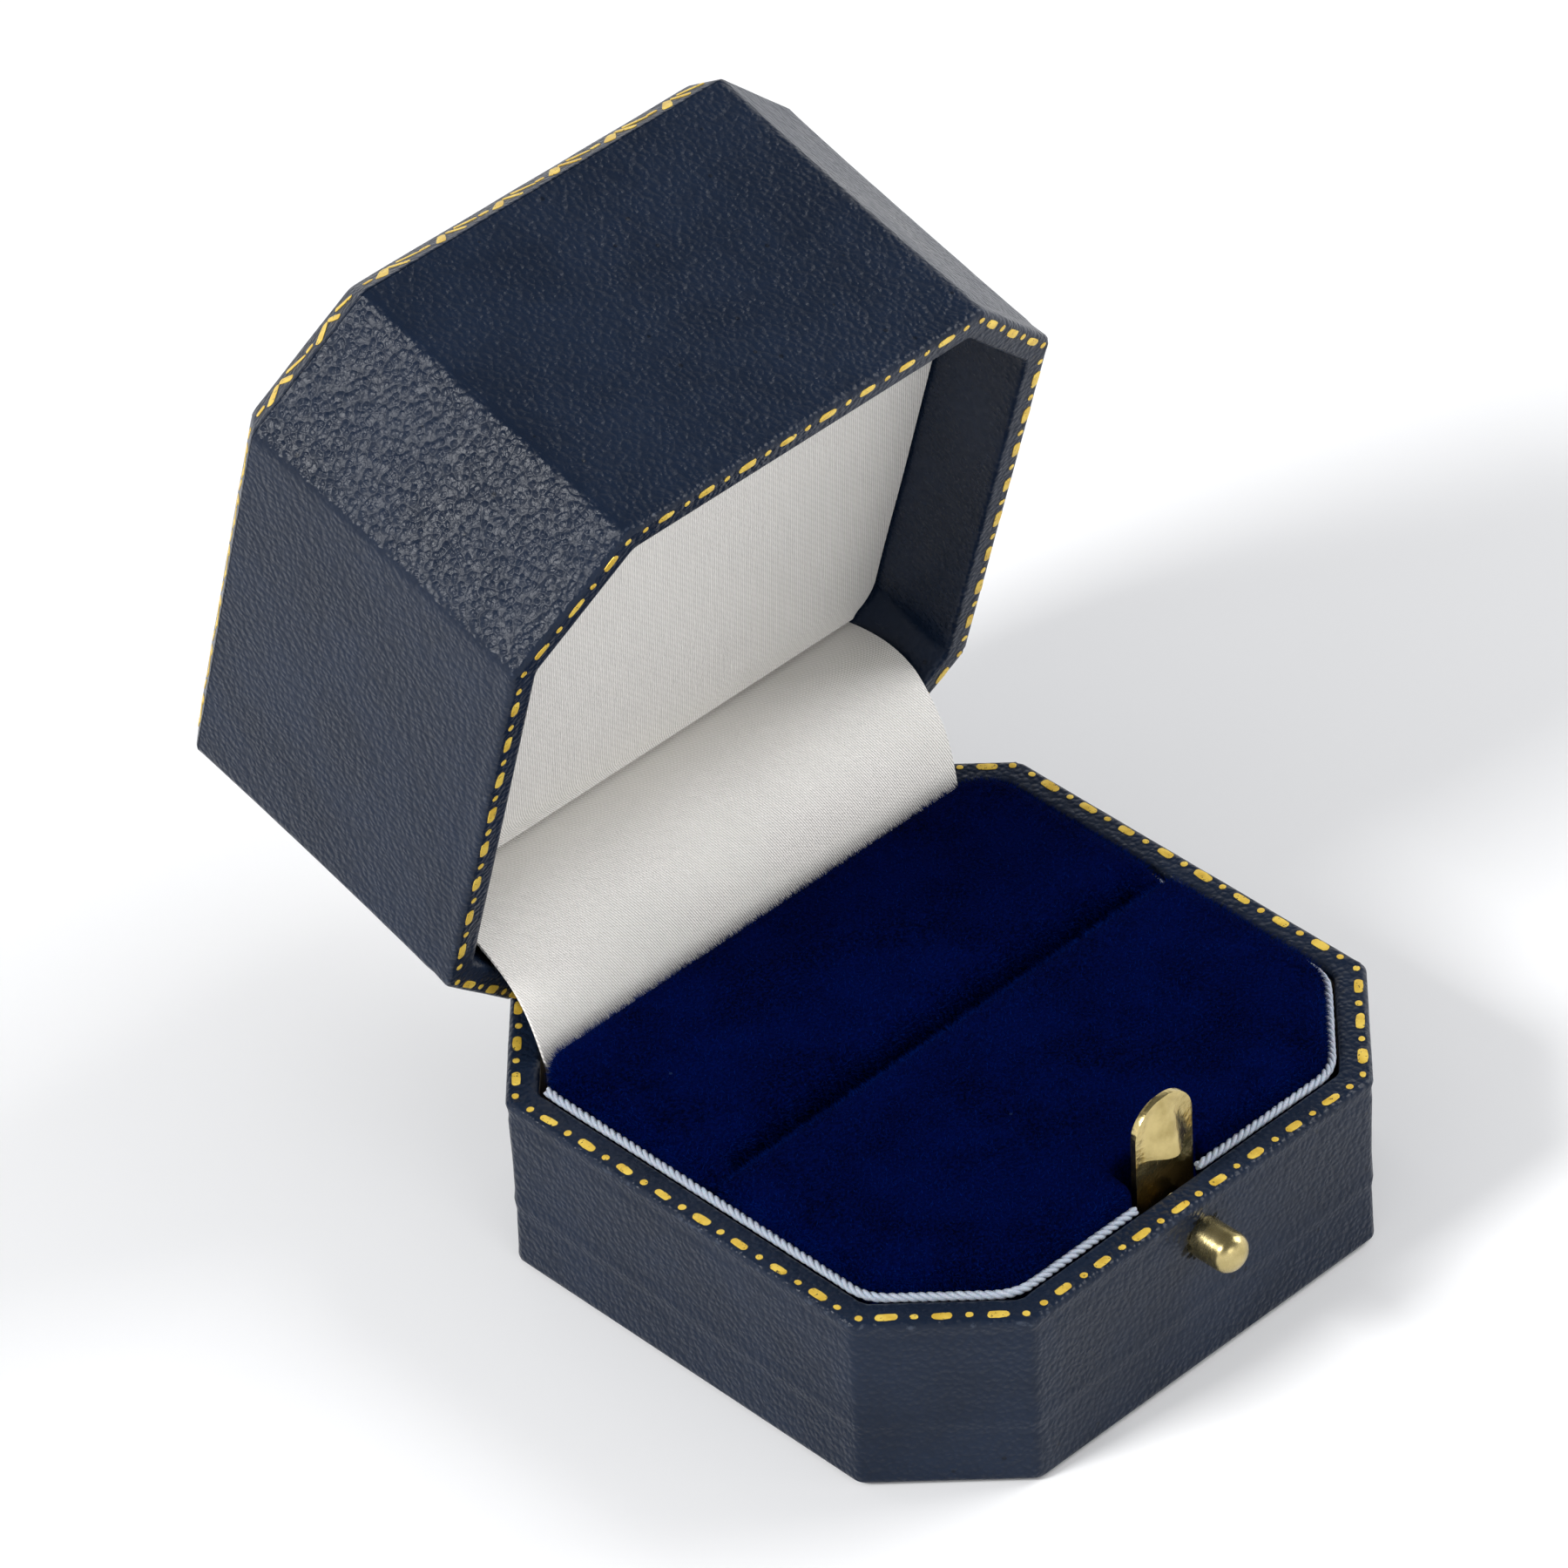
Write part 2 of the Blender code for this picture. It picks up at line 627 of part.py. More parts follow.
def make_lid_shell():
    made = bevelled_block("lid_shell", SHELL_INSET, LID_RIM_Z + COVERING + COVERING_GAP)
    cut(made,
        bevelled_block("hollow", SHELL_INSET + LID_WALL, 0),
        back_edge_wedge(1, SHELL_INSET),
        hinge_rebate(0, HINGE_Z + REBATE_DEPTH),
        *holes_for("lid"))
    return set_kind(made, "board")


def make_lid_side_covering():
    """Leatherette round the walls, over the rim and up inside."""
    top = TOP_Z - TOP_BEVEL - 0.1 * MM
    inside = LID_RIM_Z + LID_RETURN_HEIGHT
    made = prism("lid_side_covering", outline(0), LID_RIM_Z, top)
    cut(made, back_edge_wedge(1, 0))
    core = prism("core", outline(COVERING), LID_RIM_Z + COVERING, TOP_Z)
    cut(core, back_edge_wedge(1, COVERING))
    cut(core, prism("return", outline(RIM_WIDTH - LID_RETURN), 0, inside))
    cut(made,
        core,
        prism("mouth", outline(RIM_WIDTH), 0, TOP_Z),
        hinge_rebate(0, HINGE_Z + REBATE_DEPTH),
        *holes_for("lid"))
    half = CATCH_WIDTH / 2 + LINING_CLEARANCE
    low = LID_RIM_Z + CATCH_RISE - LINING_CLEARANCE
    high = low + CATCH_HEIGHT + 2 * LINING_CLEARANCE
    cut(made, box("window", (LATCH_X - half, -WALL_INNER_Y - RIM_WIDTH / 3, low),
                  (LATCH_X + half, 0, high)))
    return set_kind(made, "leatherette")


def make_lid_top_covering():
    """The sheet on the lid's top with its sloping border."""
    made = bevelled_block("lid_top_covering", 0, LID_RIM_Z)
    cut(made,
        bevelled_block("inside", COVERING, 0),
        prism("below", outline(-RIM_WIDTH), 0, TOP_Z - TOP_BEVEL + 0.1 * MM))
    return set_kind(made, "leatherette")


def make_catch_plate():
    low = LID_RIM_Z + CATCH_RISE
    back = -WALL_INNER_Y - 0.1 * MM
    half = CATCH_WIDTH / 2
    return box("catch_plate", (LATCH_X - half, back - CATCH_THICKNESS, low),
               (LATCH_X + half, back, low + CATCH_HEIGHT), "brass")


def lining_plan(inset, back):
    return clip_y(outline(inset, INNER_ROUND, 4), -DEPTH, back)


def make_lining_satin():
    return prism("lining_satin", lining_plan(RIM_WIDTH + LINING_CLEARANCE, LINING_BACK_Y),
                 SATIN_Z, SATIN_Z + SATIN, "satin")


def make_lining_card():
    return prism("lining_card", lining_plan(RIM_WIDTH + LINING_CLEARANCE, LINING_BACK_Y),
                 CARD_Z, CARD_Z + LINING_CARD, "board")


def make_lining_foam():
    return prism("lining_foam", lining_plan(RIM_WIDTH + FOAM_INSET, LINING_BACK_Y), FOAM_Z,
                 TOP_Z - SHELL_INSET - LID_WALL - GAP, "foam")


def opened(y, z):
    """Where a point of the closed lid is once the lid is open."""
    dy = y - HINGE_Y
    dz = z - HINGE_Z
    return Vector((
        HINGE_Y + dy * math.cos(LID_OPEN) + dz * math.sin(LID_OPEN),
        HINGE_Z - dy * math.sin(LID_OPEN) + dz * math.cos(LID_OPEN)))


def make_satin_flap():
    """The satin sheet between the lining card and the back of the cushions, as it hangs."""
    half_thick = SATIN / 2
    foot_y = PAD_BACK_Y + GAP + half_thick
    corner = octagon(RIM_WIDTH)[1]
    half_width = corner.x + corner.y - (foot_y + half_thick) - FLAP_CLEARANCE
    crease = opened(LINING_BACK_Y + GAP, SATIN_Z + half_thick)
    start = Vector((foot_y, BASE_HEIGHT - 1.0 * MM))
    rise = start + Vector((1.2, 5.4)) * MM
    crown = crease + Vector((-6.9, 1.5)) * MM
    line = [Vector((foot_y, BASE_HEIGHT - FLAP_TUCK))]
    for step in range(FLAP_STEPS + 1):
        t = step / FLAP_STEPS
        s = 1 - t
        line.append(start * s ** 3 + rise * 3 * s * s * t + crown * 3 * s * t * t + crease * t ** 3)
    face = []
    for side in (1, -1):
        edge = []
        for i, here in enumerate(line):
            run = line[min(i + 1, len(line) - 1)] - line[max(i - 1, 0)]
            across = Vector((run.y, -run.x)).normalized()
            edge.append(here + across * half_thick * side)
        face += edge if side == 1 else reversed(edge)
    loops = [[(x, p.x, p.y) for p in face] for x in (-half_width, half_width)]
    return loft("satin_flap", loops, "satin")


# ---------------------------------------------------------------- putting it together

def add_pivot(name, place):
    pivot = bpy.data.objects.new(name, None)
    pivot.empty_display_size = 3 * MM
    pivot.location = place
    bpy.context.scene.collection.objects.link(pivot)
    return pivot


def hang_on(pivot, piece):
    """Give a piece its origin on a pivot and let it turn with that pivot."""
    piece.data.transform(Matrix.Translation(-pivot.location))
    piece.parent = pivot


def build_base():
    make_base_shell()
    make_base_covering()
    make_base_underside()
    make_front_cushion()
    make_rear_cushion()
    make_slot_lining()
    make_edge_cord("edge_cord_left", -1)
    make_edge_cord("edge_cord_right", 1)
    make_hinge_leaf("hinge_leaf_base", -1)
    make_hinge_pin()
    for leaf, hand, x, z in nail_places():
        if leaf == "base":
            make_hinge_nail("hinge_nail_base_" + hand, x, z)


def build_latch():
    make_button_bush()
    make_latch_bracket()
    for hand, x in zip(("left", "right"), rivet_places()):
        make_latch_rivet("latch_rivet_" + hand, x)
    slide = add_pivot("button_slide", (LATCH_X, -DEPTH / 2, BUTTON_Z))
    hang_on(slide, make_push_button())
    swing = add_pivot("tongue_pivot", (LATCH_X, TONGUE_BACK_Y, TONGUE_PIVOT_Z))
    hang_on(swing, make_latch_tongue())


def build_lid():
    pivot = add_pivot("lid_pivot", (0, HINGE_Y, HINGE_Z))
    pieces = [
        make_lid_shell(),
        make_lid_side_covering(),
        make_lid_top_covering(),
        make_catch_plate(),
        make_lining_satin(),
        make_lining_card(),
        make_lining_foam(),
        make_hinge_leaf("hinge_leaf_lid", 1)]
    for leaf, hand, x, z in nail_places():
        if leaf == "lid":
            pieces.append(make_hinge_nail("hinge_nail_lid_" + hand, x, z))
    for piece in pieces:
        hang_on(pivot, piece)
    pivot.rotation_euler.x = -LID_OPEN
    bpy.context.view_layer.update()
    flap = make_satin_flap()
    flap.data.transform(pivot.matrix_world.inverted())
    flap.parent = pivot


clear_scene()
build_base()
build_latch()
build_lid()
bpy.context.view_layer.update()
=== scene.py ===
"""The looks of an eight-sided leatherette ring box with its lid open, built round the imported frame.

Leatherette is wrapped over both card shells, the rims are tooled in gold, and two velvet cushions
with a twisted white cord lie in the base. One sheet of satin faces the card in the lid and hangs
down behind the cushions. The spring tongue and the push button are brass. Metres, +Z up. Pieces of
the lid are made with the lid closed and then turned open about the hinge.
"""
import json
import math
import random

import bmesh
import bpy
from mathutils import Matrix, Vector, noise


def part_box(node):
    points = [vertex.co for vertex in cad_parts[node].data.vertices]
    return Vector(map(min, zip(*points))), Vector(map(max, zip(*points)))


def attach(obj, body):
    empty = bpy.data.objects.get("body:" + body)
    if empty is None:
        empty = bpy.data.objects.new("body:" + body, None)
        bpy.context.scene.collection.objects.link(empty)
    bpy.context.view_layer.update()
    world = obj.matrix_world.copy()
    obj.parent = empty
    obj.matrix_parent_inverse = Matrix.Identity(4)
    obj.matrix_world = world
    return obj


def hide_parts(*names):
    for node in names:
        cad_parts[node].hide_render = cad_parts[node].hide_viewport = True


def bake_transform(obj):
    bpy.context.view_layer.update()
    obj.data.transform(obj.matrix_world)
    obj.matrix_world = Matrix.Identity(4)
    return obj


MM = 0.001
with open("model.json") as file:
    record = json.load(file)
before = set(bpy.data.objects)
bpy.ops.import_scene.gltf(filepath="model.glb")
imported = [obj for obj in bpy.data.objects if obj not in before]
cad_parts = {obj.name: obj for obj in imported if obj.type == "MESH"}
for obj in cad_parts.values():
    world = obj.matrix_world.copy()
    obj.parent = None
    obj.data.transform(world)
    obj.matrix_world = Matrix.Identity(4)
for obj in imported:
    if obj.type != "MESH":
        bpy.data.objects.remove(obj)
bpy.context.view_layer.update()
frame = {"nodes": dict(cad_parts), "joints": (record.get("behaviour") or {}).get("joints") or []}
joints = {joint["name"]: joint for joint in frame["joints"]}

# Places that the frame gives
BASE_LOW, BASE_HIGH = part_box("base_covering")
WIDTH = BASE_HIGH.x - BASE_LOW.x
DEPTH = BASE_HIGH.y - BASE_LOW.y
BASE_BOTTOM = BASE_LOW.z
BASE_TOP = BASE_HIGH.z
HINGE = Vector(joints["lid_hinge"]["pos_m"])
LID_OPEN = math.radians(abs(joints["lid_hinge"]["range_deg"][0]))
PAD_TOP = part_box("rear_cushion")[1].z
PAD_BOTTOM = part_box("rear_cushion")[0].z
PAD_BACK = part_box("rear_cushion")[1].y
SLOT_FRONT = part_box("front_cushion")[1].y
SLOT_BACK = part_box("rear_cushion")[0].y
TONGUE_LOW, TONGUE_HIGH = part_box("latch_tongue")
BUTTON_LOW, BUTTON_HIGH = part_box("push_button")
FLAP_LOW, FLAP_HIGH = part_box("satin_flap")
TONGUE_MIDDLE = (TONGUE_LOW.x + TONGUE_HIGH.x) / 2
TONGUE_HALF = (TONGUE_HIGH.x - TONGUE_LOW.x) / 2
TONGUE_LIP = BASE_TOP + 2.4 * MM
BUTTON_MIDDLE = (BUTTON_LOW + BUTTON_HIGH) / 2
# Turns a place on the open lid back to where it is with the lid closed
SHUT = Matrix.Translation(HINGE) @ Matrix.Rotation(LID_OPEN, 4, "X") @ Matrix.Translation(-HINGE)

# Sizes of the box and its materials
CORNER_CUT = 7.9 * MM
LID_HEIGHT = 25.5 * MM
RIM_GAP = 0.2 * MM
TOP_BEVEL = 1.8 * MM
EDGE_ROUND = 0.9 * MM
RIM_WIDTH = 2.1 * MM
RIM_OUTER_ROUND = 0.42 * MM
RIM_INNER_ROUND = 0.34 * MM
SHEET = 0.3 * MM
LID_STOP = math.radians(75.2)
STOP_CLEARANCE = 0.15 * MM
REBATE_REACH = 1.25 * MM
TURN_UNDER = 1.3 * MM
INNER_ROUND = 3.0 * MM
CORD_RADIUS = 0.33 * MM
CORD_INSET = RIM_WIDTH + 0.1 * MM + CORD_RADIUS
PAD_INSET = CORD_INSET + CORD_RADIUS + 0.1 * MM
PAD_RISE = 0.95 * MM
LINING_DEPTH = 6.75 * MM
LINING_BACK = DEPTH / 2 - RIM_WIDTH - 5.0 * MM
LID_RIM = BASE_TOP + RIM_GAP
LID_TOP = LID_RIM + LID_HEIGHT
SATIN_Z = LID_RIM + LINING_DEPTH
FOOT_ROWS, FLAP_ROWS, CARD_ROWS = 8, 56, 60  # rows of the satin's mesh
GILT_INSET = 0.62 * MM
GILT_DEPTH = 0.012 * MM
FAT_LEAF, LONG_LEAF, SHORT_LEAF = 1.75, 1.8, 1.6  # lengths in millimetres
DASH_PITCH = 3.4 * MM
SPRIG_PITCH = 4.9 * MM
BUTTON_RADIUS = 1.37 * MM
BUTTON_BORE = 1.5 * MM
VOXEL = 0.34 * MM  # grid that the cushions are remeshed on
WEAVE_MAP_MM = 60.0  # millimetres of cloth that the UV map's side stands for
STRANDS = 3
CORD_LAY = 1.75 * MM
CORD_STEP = 0.11 * MM
STRAND_RADIUS = 0.155 * MM

chance = random.Random(11)


# ---------------------------------------------------------------- bench work

def put_down():
    """Leave edit mode with nothing selected."""
    if bpy.context.object and bpy.context.object.mode != "OBJECT":
        bpy.ops.object.mode_set(mode="OBJECT")
    bpy.ops.object.select_all(action="DESELECT")


def take_up(piece):
    put_down()
    piece.select_set(True)
    bpy.context.view_layer.objects.active = piece


def settle(piece):
    """Move a piece's place, turn and scale into its mesh."""
    take_up(piece)
    bpy.ops.object.transform_apply(location=True, rotation=True, scale=True)


def work_on(piece, kind):
    take_up(piece)
    bpy.ops.object.mode_set(mode="EDIT")
    bpy.ops.mesh.select_mode(type=kind)
    bpy.ops.mesh.select_all(action="DESELECT")


def choose(piece, kind, wanted):
    """Select the faces, edges or points of the piece being worked on that pass a test."""
    bpy.ops.mesh.select_mode(type=kind)
    bpy.ops.mesh.select_all(action="DESELECT")
    work = bmesh.from_edit_mesh(piece.data)
    parts = {"FACE": work.faces, "EDGE": work.edges, "VERT": work.verts}[kind]
    for part in parts:
        if wanted(part):
            part.select_set(True)
    work.select_flush_mode()
    bmesh.update_edit_mesh(piece.data)


def name_piece(name):
    piece = bpy.context.object
    piece.name = name
    piece.data.name = name
    return piece


def add_block(name, low, high):
    put_down()
    low, high = Vector(low), Vector(high)
    bpy.ops.mesh.primitive_cube_add(size=1, location=(low + high) / 2)
    piece = name_piece(name)
    piece.scale = high - low
    settle(piece)
    return piece


def apply_modifier(piece, name, kind, **settings):
    take_up(piece)
    change = piece.modifiers.new(name, kind)
    for key, value in settings.items():
        setattr(change, key, value)
    bpy.ops.object.modifier_apply(modifier=change.name)


def cut_away(piece, tool, operation="DIFFERENCE", solver="FAST"):
    apply_modifier(piece, "cut", "BOOLEAN", operation=operation, solver=solver, object=tool)
    bpy.data.objects.remove(tool, do_unlink=True)


def weld_on(piece, tool):
    cut_away(piece, tool, "UNION", "EXACT")


def thicken(piece, thickness):
    """Give a sheet its thickness, inwards from the surface that was shaped."""
    apply_modifier(piece, "thickness", "SOLIDIFY", thickness=thickness, offset=-1.0)


def soften_edges(piece, width, degrees):
    apply_modifier(piece, "edges", "BEVEL", width=width, segments=2, limit_method="ANGLE",
                   angle_limit=math.radians(degrees))


def slice_piece(place, normal, take_off=False):
    """Cut the whole piece being worked on along a plane, and take off its far side if asked."""
    bpy.ops.mesh.select_all(action="SELECT")
    bpy.ops.mesh.bisect(plane_co=place, plane_no=normal, use_fill=take_off, clear_outer=take_off,
                        threshold=1e-7 if take_off else 1e-8)


def add_object(name, data):
    made = bpy.data.objects.new(name, data)
    bpy.context.scene.collection.objects.link(made)
    return made


def join_all(parts, name):
    """Make one mesh of several objects."""
    put_down()
    for part in parts:
        part.select_set(True)
    bpy.context.view_layer.objects.active = parts[0]
    bpy.ops.object.convert(target="MESH")
    bpy.ops.object.join()
    return name_piece(name)


def plan(place):
    """A place or a direction without its height."""
    return Vector((place.x, place.y, 0))


def smooth_by_angle(piece, degrees):
    take_up(piece)
    bpy.ops.object.shade_smooth_by_angle(angle=math.radians(degrees))


def move_points(piece, shift):
    """Push every point of a finished mesh by what shift(place, normal) gives."""
    put_down()
    mesh = piece.data
    moves = [shift(point.co.copy(), point.normal.copy()) for point in mesh.vertices]
    for point, move in zip(mesh.vertices, moves):
        point.co += move
    mesh.update()


def open_up(piece):
    """Turn a piece that was made with the lid closed to where the open lid holds it."""
    turn = Matrix.Translation(HINGE) @ Matrix.Rotation(-LID_OPEN, 4, "X")
    piece.matrix_world = turn @ Matrix.Translation(-HINGE)
    settle(piece)


def opened(place):
    turn = Matrix.Rotation(-LID_OPEN, 3, "X")
    return HINGE + turn @ (place - HINGE)


def soft(place, size, seed):
    """Smooth noise from -1 to 1 whose lumps are about the given size."""
    return noise.noise(place / size + Vector((seed, 3.7 * seed, -seed)))


def bell(value, middle, width):
    return math.exp(-((value - middle) / width) ** 2)


# ---------------------------------------------------------------- the eight-sided form

def corners(inset):
    """The eight corners, anticlockwise seen from above, moved in from the outside."""
    x = WIDTH / 2 - inset
    y = DEPTH / 2 - inset
    cut = CORNER_CUT - inset * (2 - math.sqrt(2))
    return [Vector((a, b, 0)) for a, b in (
        (x, -y + cut), (x, y - cut), (x - cut, y), (-x + cut, y),
        (-x, y - cut), (-x, -y + cut), (-x + cut, -y), (x - cut, -y))]


def from_corner(place):
    """How far a place is, in plan, from the nearest of the outside corners."""
    return min((plan(place) - corner).length for corner in corners(0))


def rounded_corners(inset, radius, steps):
    points = []
    ring = corners(inset)
    for i, corner in enumerate(ring):
        back = (ring[i - 1] - corner).normalized()
        ahead = (ring[(i + 1) % 8] - corner).normalized()
        half = back.angle(ahead) / 2
        middle = corner + (back + ahead).normalized() * (radius / math.sin(half))
        first = corner + back * (radius / math.tan(half))
        for step in range(steps + 1):
            turn = (math.pi - 2 * half) * step / steps
            points.append(middle + Matrix.Rotation(turn, 3, "Z") @ (first - middle))
    return points


def corner_number(place):
    return int(math.atan2(place.y, place.x) / (math.pi / 4) + 8) % 8


def eight_sided_block(name, inset, low, high):
    """A block whose four upright edges are cut off at 45 degrees."""
    half = Vector((WIDTH / 2 - inset, DEPTH / 2 - inset, 0))
    piece = add_block(name, (-half.x, -half.y, low), (half.x, half.y, high))
    work_on(piece, "EDGE")
    choose(piece, "EDGE", lambda e: abs(e.verts[0].co.z - e.verts[1].co.z) > (high - low) / 2)
    cut = CORNER_CUT - inset * (2 - math.sqrt(2))
    bpy.ops.mesh.bevel(offset=cut, offset_type="OFFSET", segments=1, affect="EDGES")
    return piece


def quarter_round(radius, steps, turning_in=True):
    """Steps (inwards, onwards) round a quarter circle, from a wall on to a flat or back again."""
    made = []
    before = (0.0, 0.0)
    for step in range(1, steps + 1):
        turn = math.pi / 2 * step / steps
        here = (radius * (1 - math.cos(turn)), radius * math.sin(turn))
        if not turning_in:
            here = (radius * math.sin(turn), radius * (math.cos(turn) - 1))
        made.append((here[0] - before[0], here[1] - before[1]))
        before = here
    return made


def carry_end_on(piece, side, steps):
    """Carry the top (side 1) or the bottom (side -1) on by steps (inwards, onwards)."""
    ends = [p.co.z * side for p in bmesh.from_edit_mesh(piece.data).verts]
    end = max(ends)
    choose(piece, "FACE", lambda f: f.normal.z * side > 0.9
           and abs(f.calc_center_median().z * side - end) < 1e-6)
    for inwards, onwards in steps:
        if inwards < 1e-7:
            bpy.ops.mesh.extrude_region_move(
                TRANSFORM_OT_translate={"value": (0, 0, onwards * side)})
        else:
            bpy.ops.mesh.inset(thickness=inwards, depth=onwards, use_even_offset=True)


def open_end():
    """Take out the end face that carry_end_on leaves selected."""
    bpy.ops.mesh.delete(type="FACE")


def add_rows(piece, rows):
    """Divide the upright corner edges of the walls."""
    def upright(edge):
        a, b = edge.verts
        level = abs(a.co.x - b.co.x) + abs(a.co.y - b.co.y)
        return level < 1e-7 and abs(a.co.z - b.co.z) > 2 * MM
    choose(piece, "EDGE", upright)
    bpy.ops.mesh.subdivide(number_cuts=rows)


def round_upright_edges(piece, radius, segments=4):
    choose(piece, "EDGE", lambda e: corner_number(e.verts[0].co) == corner_number(e.verts[1].co)
           and e.calc_length() > 1e-7)
    bpy.ops.mesh.bevel(offset=radius * math.tan(math.pi / 8), offset_type="OFFSET",
                       segments=segments, affect="EDGES")


def add_columns(piece, width):
    """Divide the level edges of each wall, so that walls hold an even grid."""
    for low, high in ((6 * MM, 13 * MM), (13 * MM, 60 * MM)):
        def level(edge, low=low, high=high):
            a, b = edge.verts
            return abs(a.co.z - b.co.z) < 1e-6 and low < edge.calc_length() <= high
        choose(piece, "EDGE", level)
        cuts = (low + high) / 2 / width * (0.9 if low < 10 * MM else 0.75)
        bpy.ops.mesh.subdivide(number_cuts=int(cuts))


def cut_back_edge(side):
    """Slope off the back edge where base (side -1) and lid (side 1) meet at the stop."""
    slope = math.tan(LID_STOP / 2)
    drop = STOP_CLEARANCE / math.cos(LID_STOP / 2)
    slice_piece((0, HINGE.y, HINGE.z + side * drop), (0, slope, -side), take_off=True)


# ---------------------------------------------------------------- leatherette

def rim_steps(depth):
    """From the outside wall over the rim to the inside, for a rim RIM_WIDTH wide."""
    flat = RIM_WIDTH - RIM_OUTER_ROUND - RIM_INNER_ROUND
    steps = quarter_round(RIM_OUTER_ROUND, 4)
    steps += [(flat * share, lift * MM) for share, lift in (
        (0.18, 0.0), (0.3, -0.02), (0.3, -0.02), (0.22, 0.01))]
    steps += quarter_round(RIM_INNER_ROUND, 3, turning_in=False)
    return steps + [(0, -depth)]


def crease_at_corners(place):
    """The folds where the leatherette is mitred over a corner of the rim."""
    corner = min(corners(0), key=lambda c: (plan(place) - c).length)
    arm = plan(place) - corner
    if arm.length > 5 * MM:
        return 0.0
    inward = -corner.normalized()
    across = arm.x * inward.y - arm.y * inward.x
    folds = -0.07 * bell(across, 0.0, 0.16 * MM)
    folds -= 0.03 * bell(across, 0.5 * MM, 0.12 * MM) * (1 + soft(place, 1.2 * MM, 2))
    folds += 0.03 * bell(across, 0.25 * MM, 0.12 * MM)
    return folds * max(0.0, 1 - arm.length / (4.5 * MM)) * MM


def finish_wall(piece, dress, side, rebate_low, rebate_high):
    """Shape the walls, slope off their back edge, and cut the rebate for the hinge's leaves."""
    put_down()
    move_points(piece, dress)
    work_on(piece, "FACE")
    cut_back_edge(side)
    put_down()
    thicken(piece, SHEET)
    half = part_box("hinge_leaf_base")[1].x + 0.3 * MM
    cut_away(piece, add_block("rebate", (-half, DEPTH / 2 - 2 * RIM_WIDTH, rebate_low),
                              (half, DEPTH, rebate_high)))
    put_down()


def make_base_leatherette():
    """Leatherette from under the base up its walls and over the rim."""
    round_low, round_high = 0.4 * MM, RIM_OUTER_ROUND
    piece = eight_sided_block("base_leatherette", 0, BASE_BOTTOM + round_low,
                              BASE_TOP - round_high)
    add_rows(piece, 26)
    carry_end_on(piece, 1, rim_steps(0.45 * MM))
    open_end()
    carry_end_on(piece, -1, quarter_round(round_low, 3) + [((TURN_UNDER - round_low) / 2, 0.0)] * 2)
    open_end()
    round_upright_edges(piece, EDGE_ROUND)
    add_columns(piece, 0.55 * MM)
    height = BASE_TOP - BASE_BOTTOM

    def dress(place, normal):
        up = (place.z - BASE_BOTTOM) / height
        on_wall = max(0.0, 1 - abs(normal.z) * 1.6)
        ripple = 0.03 * soft(Vector((place.x, place.y, place.z * 0.6)), 6 * MM, 1)
        ripple += 0.012 * soft(place, 1.6 * MM, 4)
        waist = -0.16 * max(0.0, math.sin(math.pi * min(1.0, up / 0.955))) ** 0.5
        under_lip = -0.10 * bell(up, 0.915, 0.03)
        seam = 0.09 * bell(up, 0.37, 0.026) - 0.04 * bell(up, 0.30, 0.03)
        out = normal * ((waist + under_lip + seam + ripple) * on_wall * MM)
        if normal.z > 0.5:
            out += normal * (crease_at_corners(place) + 0.02 * MM * soft(place, 2.2 * MM, 6))
        return out

    finish_wall(piece, dress, -1, HINGE.z - REBATE_REACH, LID_TOP)
    bpy.ops.mesh.primitive_cylinder_add(
        vertices=32, radius=BUTTON_BORE, depth=4 * MM, rotation=(math.pi / 2, 0, 0),
        location=(BUTTON_MIDDLE.x, -DEPTH / 2, BUTTON_MIDDLE.z))
    cut_away(piece, name_piece("bore"))
    smooth_by_angle(piece, 38)
    return piece


def make_lid_side_leatherette():
    """Leatherette round the lid's walls, over its rim and up inside."""
    top = LID_TOP - TOP_BEVEL - 0.06 * MM
    piece = eight_sided_block("lid_side_leatherette", 0, LID_RIM + RIM_OUTER_ROUND, top)
    add_rows(piece, 40)
    carry_end_on(piece, -1, rim_steps(0.3 * MM) + [(0, -1.1 * MM)] * 7)
    open_end()
    carry_end_on(piece, 1, [(0.05 * MM, 0.05 * MM)])
    open_end()
    round_upright_edges(piece, EDGE_ROUND)
    add_columns(piece, 0.6 * MM)

    def dress(place, normal):
        up = (place.z - LID_RIM) / LID_HEIGHT
        on_wall = max(0.0, 1 - abs(normal.z) * 1.6)
        ripple = 0.05 * soft(Vector((place.x, place.y, place.z * 0.5)), 7 * MM, 9)
        ripple += 0.014 * soft(place, 1.7 * MM, 5)
        if plan(place).dot(plan(normal)) < 0:
            return normal * (0.03 * soft(place, 4 * MM, 8) * on_wall * MM)
        waist = -0.13 * max(0.0, math.sin(math.pi * min(1.0, max(0.0, (up - 0.03) / 0.9)))) ** 0.6
        behind_lip = -0.07 * bell(up, 0.055, 0.018)
        out = normal * ((waist + behind_lip + ripple) * on_wall * MM)
        if normal.z < -0.5:
            out += normal * (crease_at_corners(place) + 0.02 * MM * soft(place, 2.2 * MM, 3))
        return out

    finish_wall(piece, dress, 1, 0, HINGE.z + REBATE_REACH)
    half = 3.2 * MM
    cut_away(piece, add_block(
        "window", (BUTTON_MIDDLE.x - half, -DEPTH / 2 + RIM_WIDTH / 2, LID_RIM + 0.7 * MM),
        (BUTTON_MIDDLE.x + half, 0, LID_RIM + 3.1 * MM)))
    smooth_by_angle(piece, 38)
    open_up(piece)
    return piece


